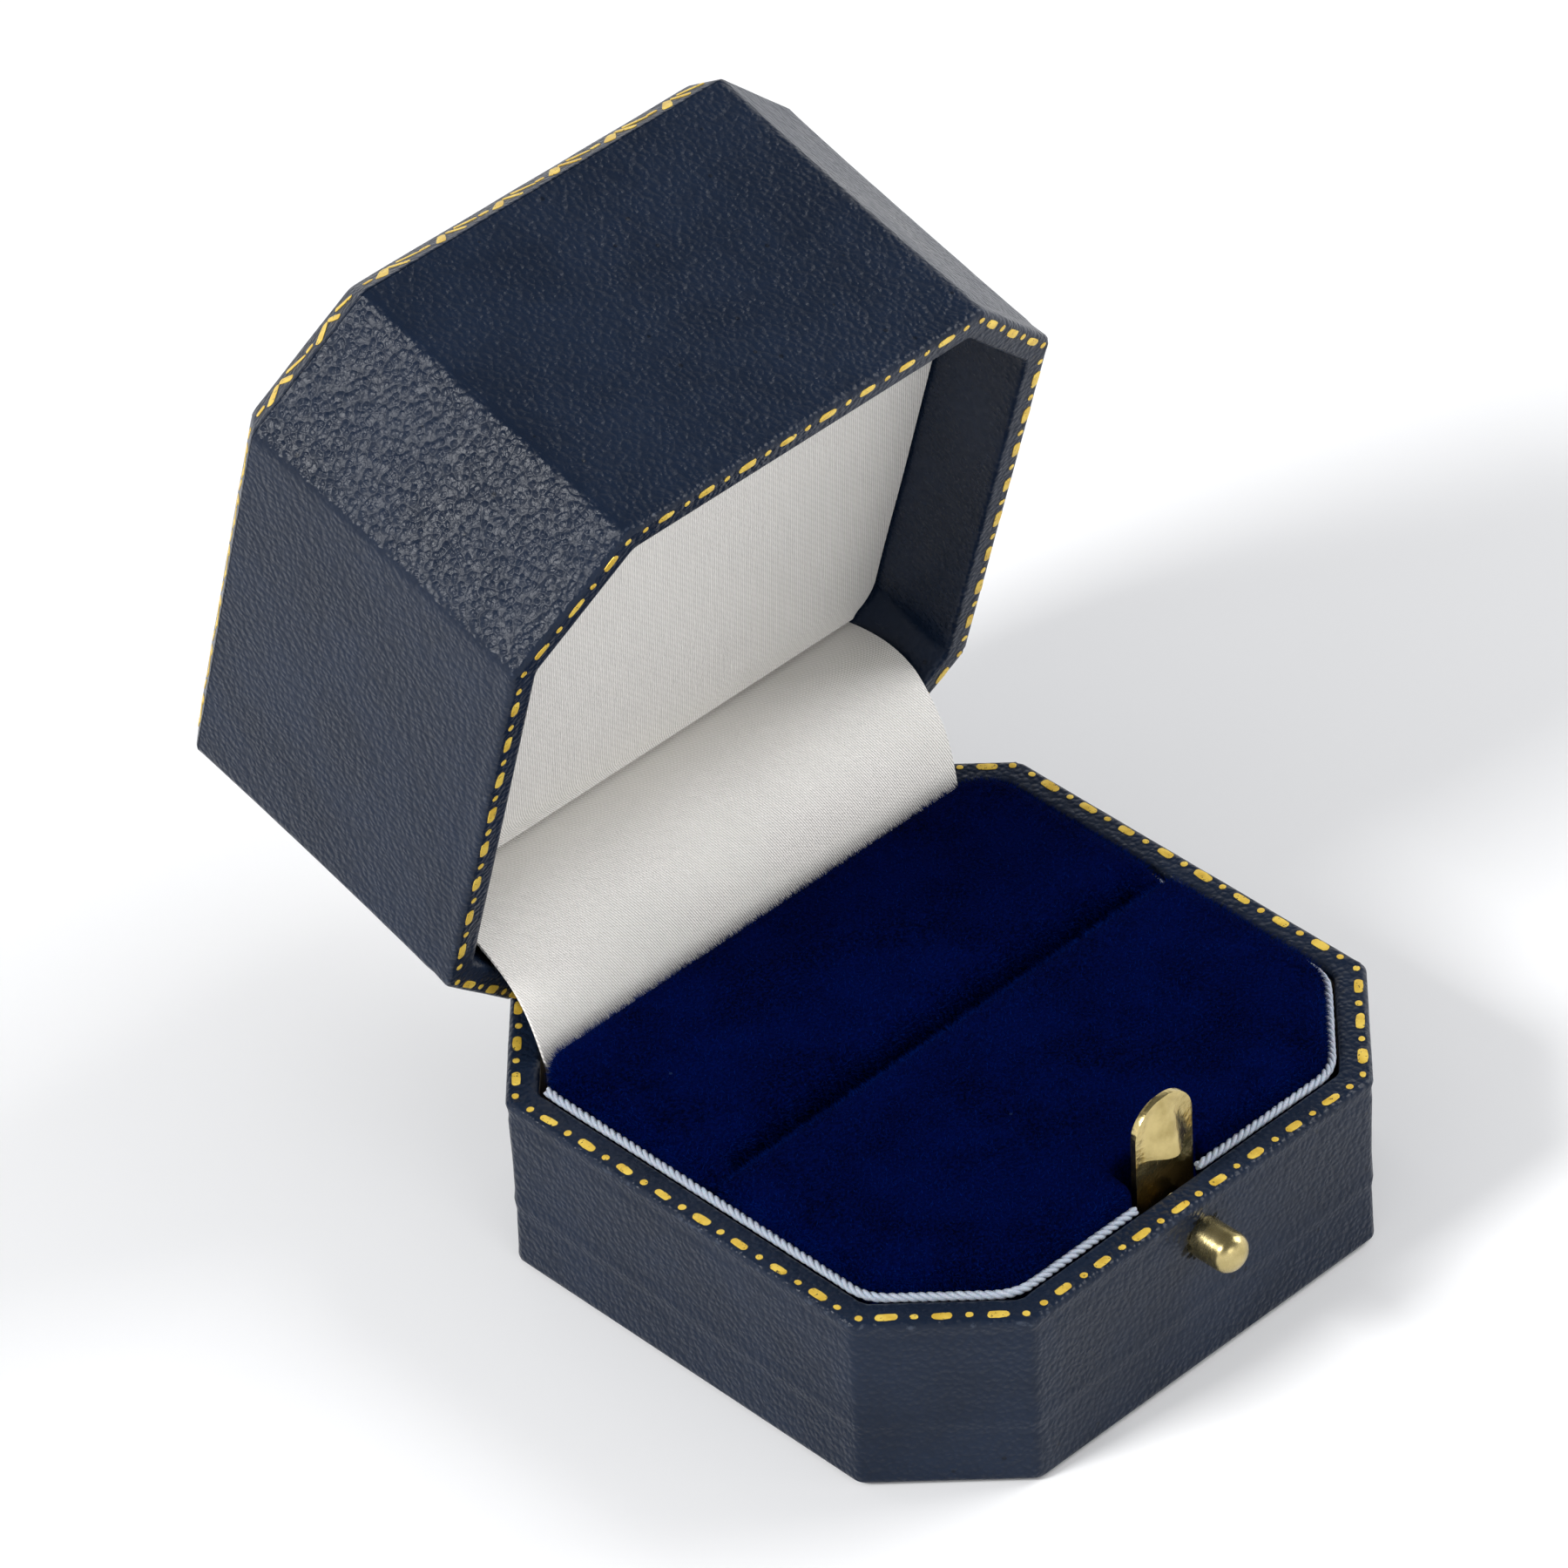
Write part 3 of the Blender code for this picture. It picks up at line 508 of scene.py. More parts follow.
def make_lid_top_leatherette():
    """The sheet on top of the lid with its sloping border."""
    low = LID_TOP - TOP_BEVEL - 0.02 * MM
    piece = eight_sided_block("lid_top_leatherette", 0, low, low + 0.02 * MM)
    slope = (TOP_BEVEL - 0.24 * MM) / 4
    border = [(0.03 * MM, 0.08 * MM), (0.05 * MM, 0.07 * MM)] + [(slope, slope)] * 4
    border += [(0.12 * MM, 0.07 * MM), (0.16 * MM, 0.02 * MM)]
    field = [(0.9 * MM, -0.02 * MM), (1.2 * MM, -0.03 * MM)] + [(2.1 * MM, -0.01 * MM)] * 4
    carry_end_on(piece, 1, border + field)
    choose(piece, "FACE", lambda f: f.normal.z < -0.9)
    open_end()
    round_upright_edges(piece, EDGE_ROUND)
    add_columns(piece, 0.7 * MM)

    def dress(place, normal):
        out = normal * (0.03 * MM * soft(place, 5 * MM, 7))
        if 0.3 < normal.z < 0.9:
            out += normal * (0.6 * crease_at_corners(place))
        return out

    put_down()
    move_points(piece, dress)
    thicken(piece, SHEET)
    smooth_by_angle(piece, 30)
    open_up(piece)
    return piece


# ---------------------------------------------------------------- gold tooling

def make_gilt_mark(name, length, width, taper=0.0):
    """One flat mark of gold leaf with round ends, lying along X."""
    put_down()
    bpy.ops.mesh.primitive_cylinder_add(vertices=14, radius=width / 2, depth=0.06 * MM)
    piece = name_piece(name)
    work_on(piece, "VERT")
    stretch = (length - width) / 2
    for end in (1, -1):
        choose(piece, "VERT", lambda v, end=end: v.co.x * end > 0)
        bpy.ops.transform.translate(value=(end * stretch, 0, 0))
    choose(piece, "FACE", lambda f: f.normal.z > 0.9)
    bpy.ops.mesh.inset(thickness=width * 0.1, depth=0.012 * MM)
    put_down()
    if taper:
        move_points(piece, lambda p, n: Vector((0, -p.y * taper * (p.x / length + 0.5), 0)))
    return piece


def lay_marks(name, places):
    """Copies of gilt marks at places (pattern, middle, along, outwards, stretch), joined in one."""
    laid = []
    for pattern, middle, along, outwards, stretch in places:
        copy = add_object(name, pattern.data.copy())
        across = outwards.cross(along).normalized()
        along = across.cross(outwards).normalized()
        facing = Matrix((along, across, outwards.normalized())).transposed().to_4x4()
        tilt = Matrix.Rotation(chance.uniform(-0.06, 0.06), 4, "Z")
        longer, wider = chance.uniform(0.9, 1.07), chance.uniform(0.86, 1.1)
        size = Matrix.Diagonal((stretch * longer, wider, 1, 1))
        shift = Vector((chance.uniform(-1, 1), chance.uniform(-1, 1), 0)) * 0.04 * MM
        for point in copy.data.vertices:
            rough = soft(point.co + middle * 7, 0.3 * MM, 2)
            point.co.x *= 1 + 0.10 * rough
            point.co.y *= 1 + 0.14 * rough
        copy.matrix_world = (Matrix.Translation(middle) @ facing @ tilt
                             @ Matrix.Translation(shift) @ size)
        laid.append(copy)
    piece = join_all(laid, name)
    settle(piece)
    return piece


def rim_marks(level, side, dash, dot):
    """Dashes and dots in turn along the eight sides of a rim."""
    ring = corners(GILT_INSET)
    outwards = Vector((0, 0, side))
    for i, start in enumerate(ring):
        end = ring[(i + 1) % 8]
        run = end - start
        count = int(run.length / DASH_PITCH)
        along = run.normalized()
        middle = (start + end) / 2 + Vector((0, 0, level))
        first = -(count - 1) / 2 * DASH_PITCH
        for k in range(count):
            yield dash, middle + along * (first + k * DASH_PITCH), along, outwards, 1.0
        for k in range(count + 1):
            place = first + (k - 0.5) * DASH_PITCH
            if abs(place) < run.length / 2 - 0.1 * MM:
                yield dot, middle + along * place, along, outwards, 1.0


def sprig_marks(dot, fat_leaf, long_leaf, short_leaf):
    """Sprigs of three leaves with a dot between them, on the sloping border of the lid's top."""
    outer, inner = corners(0), corners(TOP_BEVEL)
    for i in range(8):
        j = (i + 1) % 8
        low = (outer[i] + outer[j]) / 2 + Vector((0, 0, LID_TOP - TOP_BEVEL))
        high = (inner[i] + inner[j]) / 2 + Vector((0, 0, LID_TOP))
        along = (outer[j] - outer[i]).normalized()
        up = (high - low).normalized()
        outwards = along.cross(up).normalized()
        run = (inner[j] - inner[i]).length
        count = max(2, round(run / SPRIG_PITCH))
        pitch = run / count
        for k in range(count):
            root = (low + high) / 2 + along * ((k + 0.5) * pitch - run / 2)
            root += up * 0.62 * MM + outwards * 0.05 * MM
            for leaf, length, ahead, degrees in (
                    (fat_leaf, FAT_LEAF, 0.0, 230), (short_leaf, SHORT_LEAF, 0.1, -55),
                    (long_leaf, LONG_LEAF, 0.75, -24)):
                turn = math.radians(degrees)
                way = along * math.cos(turn) + up * math.sin(turn)
                middle = root + (along * ahead + way * (length / 2 + 0.1)) * MM
                yield leaf, middle, way, outwards, 1.0
            yield dot, root + (along * -1.85 + up * -0.65) * MM, along, outwards, 0.9


def make_gilding():
    dash = make_gilt_mark("dash", 1.36 * MM, 0.6 * MM)
    dot = make_gilt_mark("dot", 0.5 * MM, 0.46 * MM)
    small_dot = make_gilt_mark("small_dot", 0.85 * MM, 0.4 * MM)
    leaves = [make_gilt_mark("fat_leaf", FAT_LEAF * MM, 0.56 * MM, -0.5),
              make_gilt_mark("long_leaf", LONG_LEAF * MM, 0.42 * MM, 0.3),
              make_gilt_mark("short_leaf", SHORT_LEAF * MM, 0.42 * MM, -0.2)]
    base = lay_marks("base_rim_gilding", rim_marks(BASE_TOP - GILT_DEPTH, 1, dash, dot))
    lid = lay_marks("lid_rim_gilding", rim_marks(LID_RIM + GILT_DEPTH, -1, dash, dot))
    open_up(lid)
    top = lay_marks("lid_top_gilding", sprig_marks(small_dot, *leaves))
    open_up(top)
    for pattern in (dash, dot, small_dot, *leaves):
        bpy.data.objects.remove(pattern, do_unlink=True)
    for piece in (base, lid, top):
        smooth_by_angle(piece, 40)
    return base, lid, top


# ---------------------------------------------------------------- velvet

def cushion_form(name, front, back, edge_round):
    """The eight-sided inside of the base, cut to one cushion, with round corners."""
    top = PAD_TOP + PAD_RISE
    piece = eight_sided_block(name, PAD_INSET - 0.12 * MM, PAD_BOTTOM, top)
    round_upright_edges(piece, INNER_ROUND, 6)
    slice_piece((0, front, 0), (0, -1, 0), take_off=True)
    slice_piece((0, back, 0), (0, 1, 0), take_off=True)
    choose(piece, "EDGE", lambda e: all(abs(v.co.z - top) < 1e-6 for v in e.verts))
    bpy.ops.mesh.bevel(offset=edge_round, offset_type="OFFSET", segments=6, affect="EDGES")
    return piece


def finish_cushion(piece, node, softness, lift):
    """Round the edges by remeshing and smoothing, then crown the top."""
    apply_modifier(piece, "remesh", "REMESH", mode="VOXEL", voxel_size=VOXEL)
    apply_modifier(piece, "relax", "SMOOTH", factor=0.5, iterations=softness)
    smooth_by_angle(piece, 80)
    move_points(piece, crown(*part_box(node), lift))


def crown(low, high, lift):
    """How a cushion's top swells over a rectangle, by a lift in millimetres."""
    def shift(place, normal):
        if place.z < PAD_TOP - 3 * MM:
            return Vector((0, 0, 0))
        u = (place.x - low.x) / (high.x - low.x) * 2 - 1
        v = (place.y - low.y) / (high.y - low.y) * 2 - 1
        swell = max(0.0, 1 - u ** 4) * max(0.0, 1 - v ** 2)
        rough = 0.05 * soft(place, 5 * MM, 3) + 0.03 * soft(place, 1.5 * MM, 8)
        return Vector((0, 0, (lift * swell + rough * max(0.0, normal.z)) * MM))
    return shift


def make_front_velvet():
    piece = cushion_form("front_velvet", -DEPTH, SLOT_FRONT, 0.95 * MM)
    half = TONGUE_HALF + 0.5 * MM
    cut_away(piece, add_block("notch", (TONGUE_MIDDLE - half, -DEPTH, -MM),
                              (TONGUE_MIDDLE + half, TONGUE_HIGH.y + 1.6 * MM, LID_TOP)))
    finish_cushion(piece, "front_cushion", 7, 0.22)
    return piece


def make_rear_velvet():
    piece = cushion_form("rear_velvet", SLOT_BACK, PAD_BACK, 1.25 * MM)
    front, back = SLOT_FRONT + 0.25 * MM, SLOT_BACK + 2 * MM
    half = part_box("slot_lining")[1].x
    weld_on(piece, add_block("toe", (-half, front, PAD_BOTTOM),
                             (half, back, PAD_BOTTOM + 0.6 * MM)))
    side = WIDTH / 2 - PAD_INSET
    for hand in (-1, 1):
        left, right = sorted((hand * (side - 0.1 * MM), hand * (side - 1.9 * MM)))
        weld_on(piece, add_block("slot_end", (left, front, PAD_BOTTOM),
                                 (right, back, PAD_TOP + 0.35 * MM)))
    finish_cushion(piece, "rear_cushion", 5, 0.2)
    return piece


def grow_pile(name, ground, count, seed):
    """Short velvet fibres standing on the upper part of a cushion, closer along its edges."""
    dice = random.Random(seed)
    mesh = ground.data
    mesh.calc_loop_triangles()
    spots, weights = [], []
    for face in mesh.polygons:
        by_tongue = (TONGUE_LOW.x - MM < face.center.x < TONGUE_HIGH.x + MM
                     and face.center.y < TONGUE_HIGH.y + 2.4 * MM)
        if face.center.z < PAD_TOP - 2.2 * MM or face.normal.z < -0.1 or by_tongue:
            continue
        edge = 1 - face.normal.z
        spots.append(face)
        weights.append(face.area * (1 + 5 * min(1.0, edge * 3)))
    chosen = dice.choices(range(len(spots)), weights=weights, k=count)
    work = bmesh.new()
    for pick in chosen:
        face = spots[pick]
        places = [mesh.vertices[i].co for i in face.vertices]
        shares = [dice.random() for _ in places]
        total = sum(shares)
        root = sum((p * s for p, s in zip(places, shares)), Vector()) / total
        edge = min(1.0, (1 - face.normal.z) * 3)
        lean = Vector((dice.gauss(0, 0.5), dice.gauss(0.0, 0.5), dice.gauss(0, 0.25)))
        lie = Vector((0.25 * soft(root, 3 * MM, 1), 0.35 * soft(root, 3 * MM, 5), 0))
        way = (face.normal + lean + lie).normalized()
        length = dice.uniform(0.18, 0.40 + 0.2 * edge) * MM
        radius = dice.uniform(0.014, 0.026) * MM
        side = way.orthogonal().normalized()
        other = way.cross(side)
        turn = dice.uniform(0, math.tau)
        base = []
        for k in range(3):
            angle = turn + math.tau * k / 3
            arm = side * math.cos(angle) + other * math.sin(angle)
            base.append(work.verts.new(root - way * 0.05 * MM + arm * radius))
        tip = work.verts.new(root + way * length)
        work.faces.new(list(reversed(base)))
        for k in range(3):
            work.faces.new((base[k], base[(k + 1) % 3], tip))
    made = bpy.data.meshes.new(name)
    work.to_mesh(made)
    work.free()
    return add_object(name, made)


# ---------------------------------------------------------------- cord

def cord_path(hand):
    """The middle of the cord from the tongue round to the back. hand: -1 left, 1 right."""
    z = BASE_TOP - 0.15 * MM
    stop = hand * TONGUE_MIDDLE + TONGUE_HALF + (0.85 if hand < 0 else -0.35) * MM
    ring = rounded_corners(CORD_INSET, INNER_ROUND + CORD_RADIUS, 8)
    side = [p for p in ring if p.x > stop and p.y < PAD_BACK - 2 * MM]
    side.sort(key=lambda p: (p.y, p.x))
    side.insert(0, Vector((stop, side[0].y, 0)))
    side.append(Vector((side[-1].x, PAD_BACK - 1.6 * MM, 0)))
    tucked = 1.0 * MM if hand > 0 else 0.0
    return [Vector((p.x * hand, p.y, z - (tucked if p.y > 0 else 0.0))) for p in side]


def evenly(path, step):
    """Points a step apart along a path, with the way the path runs at each."""
    places = []
    left = 0.0
    for a, b in zip(path, path[1:]):
        run = b - a
        if run.length < 1e-8:
            continue
        along = left
        while along < run.length:
            places.append((a + run * (along / run.length), run.normalized()))
            along += step
        left = along - run.length
    return places


def make_cord(name, hand):
    """Three strands laid round each other."""
    strands = []
    spots = evenly(cord_path(hand), CORD_STEP)
    for strand in range(STRANDS):
        line = bpy.data.curves.new(name, "CURVE")
        line.dimensions = "3D"
        line.bevel_depth = STRAND_RADIUS
        line.bevel_resolution = 2
        line.use_fill_caps = True
        spline = line.splines.new("POLY")
        spline.points.add(len(spots) - 1)
        for i, (place, way) in enumerate(spots):
            turn = math.tau * (i * CORD_STEP / CORD_LAY + strand / STRANDS) * hand
            side = Vector((way.y, -way.x, 0)).normalized()
            wander = 0.02 * MM * soft(place, 1.4 * MM, strand + 2)
            arm = side * math.cos(turn) + Vector((0, 0, 1)) * math.sin(turn)
            spot = place + arm * (0.16 * MM + wander)
            spline.points[i].co = (*spot, 1)
        strands.append(add_object(name, line))
    piece = join_all(strands, name)
    work_on(piece, "VERT")
    bpy.ops.mesh.select_all(action="SELECT")
    bpy.ops.mesh.remove_doubles(threshold=1e-7)
    put_down()
    smooth_by_angle(piece, 60)
    return piece


# ---------------------------------------------------------------- satin

def card_half_width(y):
    """Half the width of the satin-faced card at a distance from the middle, lid closed."""
    inset = RIM_WIDTH + 0.2 * MM
    ring = rounded_corners(inset, INNER_ROUND, 8)
    right = sorted((p.y, p.x) for p in ring if p.x > 0)
    if y <= right[0][0]:
        return right[0][1]
    for (y0, x0), (y1, x1) in zip(right, right[1:]):
        if y0 <= y <= y1 and y1 > y0:
            return x0 + (x1 - x0) * (y - y0) / (y1 - y0)
    return right[-1][1]


def satin_line():
    """Points (place, half width) from the flap's foot up to the crease and on over the card."""
    foot_y = PAD_BACK + 0.475 * MM
    crease = opened(Vector((0, LINING_BACK + 0.25 * MM, SATIN_Z + 0.12 * MM)))
    start = Vector((0, foot_y, BASE_TOP - 1.0 * MM))
    rise = start + Vector((0, 1.2, 5.4)) * MM
    top = crease + Vector((0, -6.9, 1.5)) * MM
    line = []
    foot_half = FLAP_HIGH.x
    crease_half = card_half_width(LINING_BACK)
    for step in range(FOOT_ROWS):
        z = FLAP_LOW.z + (start.z - FLAP_LOW.z) * step / FOOT_ROWS
        line.append((Vector((0, foot_y, z)), foot_half))
    for step in range(FLAP_ROWS):
        t = step / FLAP_ROWS
        s = 1 - t
        place = start * s ** 3 + rise * 3 * s * s * t + top * 3 * s * t * t + crease * t ** 3
        half = foot_half + (crease_half + 0.1 * MM - foot_half) * min(1.0, t * 1.6)
        line.append((place, half))
    front = -DEPTH / 2 + RIM_WIDTH + 0.25 * MM
    tuck = ((0.22, 0.30), (0.1, 0.2), (0.0, 0.06), (-0.22, -0.10), (-0.45, -0.03), (-0.7, 0.0))
    for dy, dz in tuck:
        y = LINING_BACK + dy * MM
        half = card_half_width(min(y, LINING_BACK)) - 0.05 * MM
        line.append((opened(Vector((0, y, SATIN_Z + dz * MM))), half))
    back = LINING_BACK - 1.0 * MM
    for step in range(CARD_ROWS + 1):
        y = back + (front - back) * step / CARD_ROWS
        line.append((opened(Vector((0, y, SATIN_Z))), card_half_width(y) - 0.05 * MM))
    return line


def make_satin():
    """One sheet of satin: the flap behind the cushions, the crease and the face of the card."""
    line = satin_line()
    card_start = len(line) - CARD_ROWS - 1
    put_down()
    bpy.ops.mesh.primitive_grid_add(x_subdivisions=96, y_subdivisions=len(line) - 1, size=2)
    piece = name_piece("satin")
    mesh = piece.data
    run = [0.0]
    for (a, _), (b, _) in zip(line, line[1:]):
        run.append(run[-1] + (b - a).length)
    layer = mesh.uv_layers.new(name="weave")
    where = []
    for point in mesh.vertices:
        column = (point.co.x + 1) / 2
        row = round((point.co.y + 1) / 2 * (len(line) - 1))
        place, half = line[row]
        x = (column * 2 - 1) * half
        where.append((x / (WEAVE_MAP_MM * MM) + 0.5, run[row] / (WEAVE_MAP_MM * MM)))
        point.co = Vector((x, place.y, place.z))
        flap = 1.0 if row < FOOT_ROWS + FLAP_ROWS else 0.0
        ease = math.sin(math.pi * min(1.0, max(0.0, (row - FOOT_ROWS) / FLAP_ROWS))) * flap
        wave = soft(Vector((x, run[row] * 1.4, 0)), 9 * MM, 5)
        point.co += Vector((0, -0.30, 0.30)) * MM * wave * ease
        if row >= card_start:
            puff = 0.05 * soft(Vector((x, run[row], 0)), 8 * MM, 2) * MM
            point.co += opened(HINGE + Vector((0, 0, puff))) - HINGE
    for loop in mesh.loops:
        layer.data[loop.index].uv = where[loop.vertex_index]
    thicken(piece, 0.24 * MM)
    smooth_by_angle(piece, 50)
    return piece, run[-1]


# ---------------------------------------------------------------- brass

def bump_reach(x, z):
    """How far the tongue's catch stands out in front, as a half cone with a sharp lower lip."""
    height = 3.5 * MM
    share = (z - TONGUE_LIP) / height
    if share < 0 or share > 1:
        return 0.0
    wide = 2.15 * MM * math.sqrt(max(0.0, 1 - 0.9 * share * share))
    if abs(x) >= wide:
        return 0.0
    return (1.12 * MM * (1 - share ** 1.1) + 0.03 * MM) * (0.5 + 0.5 * math.cos(math.pi * x / wide))


def make_brass_tongue():
    """A flat spring with a round top, pressed out to a catch that the lid's plate snaps over."""
    middle, half = TONGUE_MIDDLE, TONGUE_HALF
    thick = 0.45 * MM
    back = TONGUE_HIGH.y
    piece = add_block("brass_tongue", (middle - half, back - thick, TONGUE_LOW.z),
                      (middle + half, back, TONGUE_HIGH.z - 0.35 * MM))
    work_on(piece, "EDGE")
    choose(piece, "EDGE", lambda e: all(v.co.z > TONGUE_HIGH.z - MM for v in e.verts)
           and abs(e.verts[0].co.y - e.verts[1].co.y) > thick / 2)
    bpy.ops.mesh.bevel(offset=half * 0.93, offset_type="OFFSET", segments=10, affect="EDGES")
    lip = TONGUE_LIP
    heights = [TONGUE_LOW.z + (lip - 0.1 * MM - TONGUE_LOW.z) * k / 14 for k in range(1, 14)]
    heights += [lip - 0.09 * MM, lip - 0.03 * MM, lip + 0.0001 * MM, lip + 0.06 * MM]
    heights += [lip + 0.06 * MM + 0.19 * MM * k for k in range(1, 18)]
    for z in heights:
        slice_piece((0, 0, z), (0, 0, 1))
    for k in range(1, 26):
        slice_piece((middle - half + 2 * half * k / 26, 0, 0), (1, 0, 0))

    def press(place, normal):
        x = place.x - middle
        out = -bump_reach(x, place.z)
        dent = 0.022 * MM * soft(place, 0.9 * MM, 12) * (1.0 if out < 0 else 0.35)
        dish = 0.10 * MM * (1 - (x / half) ** 2) * max(0.0, min(1.0, (lip - place.z) / (4 * MM)))
        return Vector((0, out + dent + dish * 0.6, 0))

    put_down()
    move_points(piece, press)
    soften_edges(piece, 0.07 * MM, 55)
    smooth_by_angle(piece, 42)
    return piece


def make_brass_button():
    """A turned pin with a domed end and a collar behind the wall."""
    radius, dome, collar = BUTTON_RADIUS, 1.05 * MM, 0.35 * MM
    put_down()
    middle = BUTTON_MIDDLE
    front = BUTTON_LOW.y + dome
    inner = BUTTON_HIGH.y
    bpy.ops.mesh.primitive_cylinder_add(
        vertices=48, radius=radius, depth=inner - collar - front, rotation=(math.pi / 2, 0, 0),
        location=(middle.x, (inner - collar + front) / 2, middle.z))
    piece = name_piece("brass_button")
    settle(piece)
    work_on(piece, "FACE")
    choose(piece, "FACE", lambda f: f.normal.y < -0.9)
    for k in range(8):
        a, b = math.pi / 2 * k / 8, math.pi / 2 * (k + 1) / 8
        inwards = (radius - 0.05 * MM) * (math.cos(a) - math.cos(b))
        bpy.ops.mesh.inset(thickness=inwards, depth=dome * (math.sin(b) - math.sin(a)))
    choose(piece, "FACE", lambda f: f.normal.y > 0.9)
    bpy.ops.mesh.extrude_region_move(TRANSFORM_OT_translate={"value": (0, collar, 0)})
    grow = (BUTTON_HIGH.x - BUTTON_LOW.x) / 2 / radius
    choose(piece, "VERT", lambda v: v.co.y > inner - collar / 2)
    bpy.ops.transform.resize(value=(grow, 1, grow), center_override=(middle.x, inner, middle.z))
    put_down()
    soften_edges(piece, 0.06 * MM, 50)
    smooth_by_angle(piece, 40)
    return piece


# ---------------------------------------------------------------- shader nodes

def spaced(inputs):
    """Socket names as Blender writes them."""
    return {label.replace("_", " "): value for label, value in inputs.items()}


class Tree:
    """A node tree being wired up. Inputs given as sockets are linked, and other values are set."""

    def __init__(self, made, tree, ends):
        self.made, self.tree, self.ends = made, tree, ends

    def feed(self, sockets, values):
        for label, value in values.items():
            if isinstance(value, bpy.types.NodeSocket):
                self.tree.links.new(value, sockets[label])
            else:
                sockets[label].default_value = value

    def end(self, **values):
        """Feed the group's outputs, or the material's shader, and give back what was made."""
        self.feed(self.ends, spaced(values))
        return self.made

    def put(self, kind, settings=None, slots=None, **inputs):
        """Add a node and give its outputs. Its inputs go by name, or by number in slots."""
        made = self.tree.nodes.new("ShaderNode" + kind)
        for key, value in (settings or {}).items():
            setattr(made, key, value)
        self.feed(made.inputs, {**spaced(inputs), **(slots or {})})
        return made.outputs

    def reckon(self, operation, *values):
        return self.put("Math", {"operation": operation}, dict(enumerate(values)))[0]

    def times(self, value, factor, plus=None):
        if plus is None:
            return self.reckon("MULTIPLY", value, factor)
        return self.reckon("MULTIPLY_ADD", value, factor, plus)

    def ramp(self, value, low, high):
        """0 below low and 1 above high, smooth between."""
        return self.put("MapRange", {"interpolation_type": "SMOOTHSTEP"},
                        Value=value, From_Min=low, From_Max=high)[0]

    def mix(self, share, first, second):
        """One colour turning to another as the share goes from 0 to 1."""
        pair = [c if isinstance(c, bpy.types.NodeSocket) else (*c, 1.0) for c in (first, second)]
        return self.put("Mix", {"data_type": "RGBA"}, {0: share, 6: pair[0], 7: pair[1]})[2]

    def tint(self, base, mask, amount, colour):
        """Turn a colour part of the way to another where a mask is 1."""
        return self.mix(self.times(mask, amount), base, colour)

    def lumps(self, place, per_metre, detail, **more):
        return self.put("TexNoise", Vector=place, Scale=per_metre, Detail=detail, **more)["Fac"]

    def bump(self, height, depth, normal=None):
        """A relief whose depth is in millimetres, laid over another if one is given."""
        under = {} if normal is None else {"Normal": normal}
        return self.put("Bump", Height=height, Distance=depth * MM, Strength=1.0, **under)["Normal"]

    def use(self, group, **inputs):
        return self.put("Group", {"node_tree": GROUPS[group]}, **inputs)

    def tone(self, place, per_metre, **more):
        return self.use("shade", Vector=place, Clouds_per_Metre=per_metre, **more)["Tone"]

    def specks(self, place, per_metre, share, size):
        return self.use("speck", Vector=place, Specks_per_Metre=per_metre, Share=share,
                        Size=size)["Mask"]


def start_group(name, inputs, outputs):
    """A node group. A Vector input has no value; the other inputs and the outputs are numbers."""
    tree = bpy.data.node_groups.new(name, "ShaderNodeTree")
    for label, value in inputs:
        kind = "NodeSocketVector" if value is None else "NodeSocketFloat"
        socket = tree.interface.new_socket(label, in_out="INPUT", socket_type=kind)
        if value is not None:
            socket.default_value = value
    for label in outputs:
        tree.interface.new_socket(label, in_out="OUTPUT", socket_type="NodeSocketFloat")
    given = tree.nodes.new("NodeGroupInput").outputs
    return Tree(tree, tree, tree.nodes.new("NodeGroupOutput").inputs), given


def make_pebble_group():
    """Embossed leather grain: round pebbles, with a mask of the valleys between them where the
    leatherette is darkened as painted shade.
    """
    tree, given = start_group(
        "pebble grain", [("Vector", None), ("Pebbles per Metre", 2600.0), ("Wander", 0.35),
                         ("Fineness", 0.35)], ["Height", "Valley"])
    place, count = given["Vector"], given["Pebbles per Metre"]
    sway = tree.put("TexNoise", Vector=place, Scale=900.0, Detail=2.0)["Color"]
    off = tree.put("VectorMath", {"operation": "SUBTRACT"}, {0: sway, 1: (0.5, 0.5, 0.5)})[0]
    far = tree.put("VectorMath", {"operation": "SCALE"}, {0: off},
                   Scale=tree.times(given["Wander"], MM))[0]
    moved = tree.put("VectorMath", {"operation": "ADD"}, {0: place, 1: far})[0]
    valley = tree.put("TexVoronoi", {"feature": "SMOOTH_F1"}, Vector=moved, Scale=count,
                      Smoothness=0.35, Randomness=1.0)["Distance"]
    fine = tree.lumps(moved, tree.times(count, 1.35), 3.0, Roughness=0.6)
    height = tree.reckon("ADD", tree.reckon("SUBTRACT", 1.0, valley),
                         tree.times(fine, given["Fineness"]))
    return tree.end(Height=height, Valley=tree.ramp(valley, 0.42, 0.75))


def make_speck_group():
    """Small scattered spots, such as dust, lint or pits."""
    tree, given = start_group(
        "scattered specks", [("Vector", None), ("Specks per Metre", 700.0), ("Share", 0.1),
                             ("Size", 0.2)], ["Mask"])
    cells = tree.put("TexVoronoi", {"feature": "F1"}, Vector=given["Vector"],
                     Scale=given["Specks per Metre"], Randomness=1.0)
    spot = tree.reckon("LESS_THAN", cells["Distance"], given["Size"])
    lot = tree.put("SeparateColor", Color=cells["Color"])[0]
    return tree.end(Mask=tree.times(spot, tree.reckon("LESS_THAN", lot, given["Share"])))


